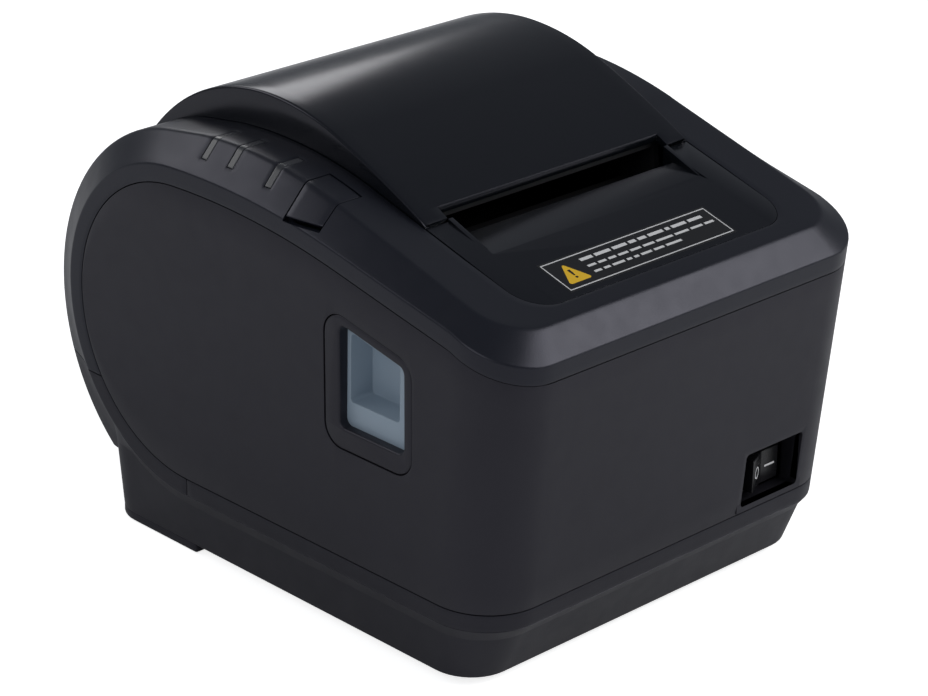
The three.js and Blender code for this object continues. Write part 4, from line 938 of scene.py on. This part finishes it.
def label():
    x0, x1, y0, y1 = (LABEL_BOX[k] for k in ("x0", "x1", "y0", "y1"))
    film = flat_piece("label_film", [(x0, y0), (x1, y0), (x1, y1), (x0, y1)], FILM)
    dress(film, LABEL, "cutter_door", "label", "cover_label")
    inset = 0.7
    frame_box = (x0 + inset, x1 - inset, y0 + inset, y1 - inset)
    strips = [flat_piece("label_frame", s, INK) for s in frame_strips(*frame_box, 0.32)]
    attach(strips[0], *strips[1:])
    dress(strips[0], INK_WHITE, "cutter_door", "label")
    cx, cy, size = x0 + 6.9, (y0 + y1) / 2 - 0.3, 4.4
    low, r = cy - size * 0.8, 0.6
    tri = rounded([(cx - size, low, r), (cx + size, low, r), (cx, cy + size, r)], 4)
    dress(flat_piece("label_triangle", tri, INK), INK_YELLOW, "cutter_door", "label")
    stroke = rounded([
        (cx - 0.28, cy - 0.9, 0), (cx + 0.28, cy - 0.9, 0),
        (cx + 0.5, cy + 1.6, 0), (cx - 0.5, cy + 1.6, 0),
    ])
    dot = rounded([
        (cx - 0.42, cy - 2.1, 0.3), (cx + 0.42, cy - 2.1, 0.3),
        (cx + 0.42, cy - 1.3, 0.3), (cx - 0.42, cy - 1.3, 0.3),
    ], 3)
    mark = flat_piece("label_mark", stroke, MARK)
    attach(mark, flat_piece("label_dot", dot, MARK))
    dress(mark, LABEL, "cutter_door", "label")
    bars = []
    start = x0 + 13.4
    rows = [(y1 - 3.9, x1 - 3.0, 1.1), (y1 - 6.7, x1 - 2.5, 0.8), (y1 - 9.3, x1 - 18, 0.8)]
    shortest, space = 0.8, 1.0
    rng = np.random.default_rng(7)
    for y, end, tall in rows:
        x = start
        while x < end:
            wide = float(rng.uniform(1.6, 6.5))
            stop = min(x + wide, end)
            if stop - x > shortest:
                bar = [(x, y), (stop, y), (stop, y + tall), (x, y + tall)]
                bars.append(flat_piece("label_bars", bar, INK))
            x = stop + space
    attach(bars[0], *bars[1:])
    dress(bars[0], INK_WHITE, "cutter_door", "label")


label()


# ---------------------------------------------------------------- light pipes and feed button
def crease_cap(y0, y1, inner, low):
    """A slice of the deck that wraps over the left crease and down the chamfer."""
    rows = []
    for y in steps(y0, y1, 6):
        place = ("side", y)
        row = band_row(place, Vector((inner, y, deck_z(y))))
        kept = [p for p in row if p.z > low]
        nxt = next((p for p in row if p.z <= low and p.x < -DECK_HALF), None)
        last = kept[-1]
        if nxt is not None:
            f = (last.z - low) / max(last.z - nxt.z, 1e-6)
            end = last.lerp(nxt, f)
        else:
            end = last
        line = kept + [end]
        rows.append(resampled(line, 26))
    return rows


def resampled(line, n):
    lengths = [0.0]
    for a, b in zip(line, line[1:]):
        lengths.append(lengths[-1] + (b - a).length)
    out = []
    for s in steps(0, lengths[-1], n):
        i = max(k for k in range(len(lengths)) if lengths[k] <= s + 1e-9)
        i = min(i, len(line) - 2)
        span = lengths[i + 1] - lengths[i]
        out.append(line[i].lerp(line[i + 1], (s - lengths[i]) / span if span > 1e-9 else 0))
    return out


def cap_piece(name, y0, y1, inner, low, bevel):
    bm = bmesh.new()
    grid_into(bm, crease_cap(y0, y1, inner, low))
    weld(bm)
    bmesh.ops.recalc_face_normals(bm, faces=bm.faces)
    obj = new_object(name, bm)
    if sum((f.normal.z for f in obj.data.polygons)) < 0:
        obj.data.flip_normals()
    modifier(obj, "SOLIDIFY", thickness=WALL * MM, offset=-1)
    bake(obj)
    return soften(obj, bevel)


KEY_BOARD_TOP = 115.2
for where, y in PIPE_YS.items():
    pipe = cap_piece("light_pipe_" + where, y - PIPE_HALF, y + PIPE_HALF, PIPE_INNER, pipe_low(y), 0.18)
    leg = block((-62.6, -60.4), (y - PIPE_HALF, y + PIPE_HALF), (KEY_BOARD_TOP + 0.6, deck_z(y) - 1))
    dress(attach(pipe, leg), PIPE, "printer_body", "clear", "status_light_" + where)

button = cap_piece("feed_button_cap", BUTTON["y0"], BUTTON["y1"], BUTTON["inner"], button_low(), 0.3)
button_y = (BUTTON["y0"] + BUTTON["y1"]) / 2
stem = block((-63, -60), (button_y - 1.5, button_y + 1.5), (KEY_BOARD_TOP + 4.2, deck_z(button_y) - 1.4))
dress(attach(button, stem), SHELL, "feed_key", "shell", "feed_button")


# ---------------------------------------------------------------- open lever
LEVER_PLATE = dict(rear=-29.5, front=-62.5, bottom=61.5, top=98.5, r=2)
LEVER_FACE_X = -70.4
POCKET = dict(rear=-34.6, front=-53.7, bottom=72.3, top=92.5, r=1.2)
POCKET_DEPTH = 8.2


def open_lever():
    obj = prism(sloped_frame(LEVER_PLATE, 0), LEVER_FACE_X, LEVER_FACE_X + 2, "x", "open_lever_plate")
    deep = LEVER_FACE_X + POCKET_DEPTH
    unite(obj, prism(sloped_frame(POCKET, 1.6), LEVER_FACE_X + 0.5, deep + 1.6, "x"))
    cut(obj, prism(sloped_frame(POCKET, 0), LEVER_FACE_X - 1, deep, "x"))
    low = POCKET["bottom"] - 1.6
    unite(obj, block((deep, -51.5), (-50, -42), (low, low + 7.6)))
    soften(obj, 0.5, segments=3)
    return dress(obj, LEVER, "latch", "lever", "open_lever")


open_lever()


# ---------------------------------------------------------------- power switch
ROCKER = dict(x=41.0, z=34.5, half=7.4, tall=5.1, face=-86.0, tilt=12.5, pivot=-81.5)


def power_rocker():
    rise = ROCKER["half"] * math.tan(math.radians(ROCKER["tilt"]))
    h, face, pivot = ROCKER["half"], ROCKER["face"], ROCKER["pivot"]
    outline = [
        (-h, face - rise - pivot), (0, face - pivot), (h, face - rise - pivot), (h - 1, 1), (-h + 1, 1),
    ]
    key = prism(outline, -ROCKER["tall"], ROCKER["tall"], "z", "power_rocker_key")
    soften(key, segments=3, angle=20, smooth=30)
    tilt = math.radians(ROCKER["tilt"])
    axle = Matrix.Translation(Vector((ROCKER["x"], pivot, ROCKER["z"])) * MM)
    place = axle @ Matrix.Rotation(tilt, 4, "Z")
    ring_mark = []
    for side in (-1, 1):
        mid_x = side * h / 2
        mid_y = face - rise / 2 - pivot - 0.03
        turn = Matrix.Translation(Vector((mid_x, mid_y, 0)) * MM) @ Matrix.Rotation(-side * tilt, 4, "Z")
        if side < 0:
            outer = cylinder("y", 0, 0, 1.8, -0.05, 0.05, 40)
            inner = cylinder("y", 0, 0, 1.4, -0.2, 0.2, 40)
            mark = cut(outer, inner)
        else:
            mark = block((-2.1, 2.1), (-0.05, 0.05), (-0.3, 0.3))
        mark.data.transform(turn)
        ring_mark.append(mark)
    marks = attach(ring_mark[0], ring_mark[1])
    marks.name = "power_rocker_marks"
    for obj in (key, marks):
        obj.data.transform(place)
    shade(marks, 30)
    dress(key, ROCKER_MAT, "power_key", "inner_plastic", "power_rocker")
    dress(marks, INK_WHITE, "power_key", "inner_plastic")


power_rocker()


def rocker_housing():
    x, z = ROCKER["x"], ROCKER["z"]
    obj = block((x - 11, x + 11), (-83.6, -82.4), (z - 6.6, z + 8.4), "rocker_housing_frame")
    unite(obj, block((x - 9.4, x + 9.4), (-83, -68), (z - 6.4, z + 7)))
    cut(obj, block((x - 8.5, x + 8.5), (-90, -77.5), (z - 5.4, z + 5.4)))
    soften(obj, 0.3)
    return dress(obj, DARK, "printer_body", "inner_plastic", "rocker_housing")


rocker_housing()

# ---------------------------------------------------------------- pieces kept from the frame
NODE_LOOKS = {
    "casing": CASING, "shell": SHELL, "gloss": GLOSS, "lever": LEVER, "inner_plastic": DARK, "label": LABEL,
    "rubber": RUBBER, "steel": STEEL, "zinc": ZINC, "aluminium": ALUMINIUM, "ceramic": CERAMIC,
    "board": BOARD, "nylon": NYLON, "clear": PIPE,
}
for part in frame["record"]["subparts"]:
    node = frame["nodes"][part["node"]]
    if node.hide_render:
        continue
    node.data.materials.clear()
    node.data.materials.append(NODE_LOOKS[part["material_slot"]])
    node.data.polygons.foreach_set("use_smooth", [True] * len(node.data.polygons))
    node.data.set_sharp_from_angle(angle=math.radians(35))

# ---------------------------------------------------------------- floor, light and camera
FLOOR_GLOW = 0.78  # how much of its own white the floor shows to the camera


def floor():
    bm = bmesh.new()
    bmesh.ops.create_grid(bm, x_segments=1, y_segments=1, size=4)
    obj = new_object("floor", bm)
    mat, tree, shader = node_material("floor")[:3]
    shader.inputs["Base Color"].default_value = (0.9, 0.9, 0.9, 1)
    shader.inputs["Roughness"].default_value = 0.9
    shader.inputs["Specular IOR Level"].default_value = 0.1
    shader.inputs["Emission Color"].default_value = (1, 1, 1, 1)
    seen = tree.nodes.new("ShaderNodeLightPath")
    glow = spread(tree, seen.outputs["Is Camera Ray"], 0.0, FLOOR_GLOW, 0, 1)
    tree.links.new(glow, shader.inputs["Emission Strength"])
    obj.data.materials.append(mat)
    return obj


floor()


LIT_POINT = Vector((0, 0, 0.07))
LIGHTS = {
    # place and size in metres, power in watts
    "key": ((0.9, -1.1, 1.0), (1.2, 1.0), 13),
    "left": ((-1.3, -0.3, 0.8), (0.9, 0.9), 3.8),
    "back": ((-0.7, 1.2, 1.0), (1.2, 0.5), 4.0),
    "crown": ((0.66, 1.05, 0.7), (0.5, 0.42), 1.5),
}


def area_light(name, at, size, power):
    light = bpy.data.lights.new(name, "AREA")
    light.shape = "RECTANGLE"
    light.size, light.size_y = size
    light.energy = power
    obj = bpy.data.objects.new(name, light)
    bpy.context.scene.collection.objects.link(obj)
    obj.location = at
    obj.rotation_mode = "QUATERNION"
    obj.rotation_quaternion = (LIT_POINT - obj.location).to_track_quat("-Z", "Y")


for light_name, placing in LIGHTS.items():
    area_light(light_name, *placing)

# The surroundings light the printer softly; the camera itself sees plain white.
AMBIENT = (0.17, 0.18, 0.2, 1)
world = bpy.data.worlds.new("studio")
bpy.context.scene.world = world
world.use_nodes = True
wt = world.node_tree
background = wt.nodes["Background"]
rays = wt.nodes.new("ShaderNodeLightPath")
shades = wt.nodes.new("ShaderNodeMix")
shades.data_type = "RGBA"
shades.inputs["A"].default_value = AMBIENT
shades.inputs["B"].default_value = (1, 1, 1, 1)
wt.links.new(rays.outputs["Is Camera Ray"], shades.inputs["Factor"])
wt.links.new(shades.outputs["Result"], background.inputs["Color"])

CAMERA_AZ, CAMERA_EL, CAMERA_ROLL = -44.98, 23.53, 1.22
CAMERA_OFFSET = Vector((4.783, -6.881, 938.9))
CAMERA_TARGET = Vector((0, 0, 63.7))
SENSOR = 36
PICTURE_WIDTH = 928
FOCAL = 3222.9  # in the picture's own units


def camera():
    a, e, roll = (math.radians(v) for v in (CAMERA_AZ, CAMERA_EL, CAMERA_ROLL))
    back = Vector((math.sin(a) * math.cos(e), -math.cos(a) * math.cos(e), math.sin(e)))
    right = Vector((math.cos(a), math.sin(a), 0))
    up = back.cross(right)
    turned_right = right * math.cos(roll) + up * math.sin(roll)
    turned_up = up * math.cos(roll) - right * math.sin(roll)
    place = CAMERA_TARGET + turned_right * CAMERA_OFFSET.x
    place += turned_up * CAMERA_OFFSET.y + back * CAMERA_OFFSET.z
    data = bpy.data.cameras.new("camera")
    data.lens = FOCAL * SENSOR / PICTURE_WIDTH
    data.sensor_width = SENSOR
    data.clip_start, data.clip_end = 0.01, 20
    obj = bpy.data.objects.new("camera", data)
    bpy.context.scene.collection.objects.link(obj)
    matrix = Matrix((turned_right, turned_up, back)).transposed().to_4x4()
    matrix.translation = place * MM
    obj.matrix_world = matrix
    bpy.context.scene.camera = obj


camera()
bpy.context.scene.view_settings.view_transform = "Standard"
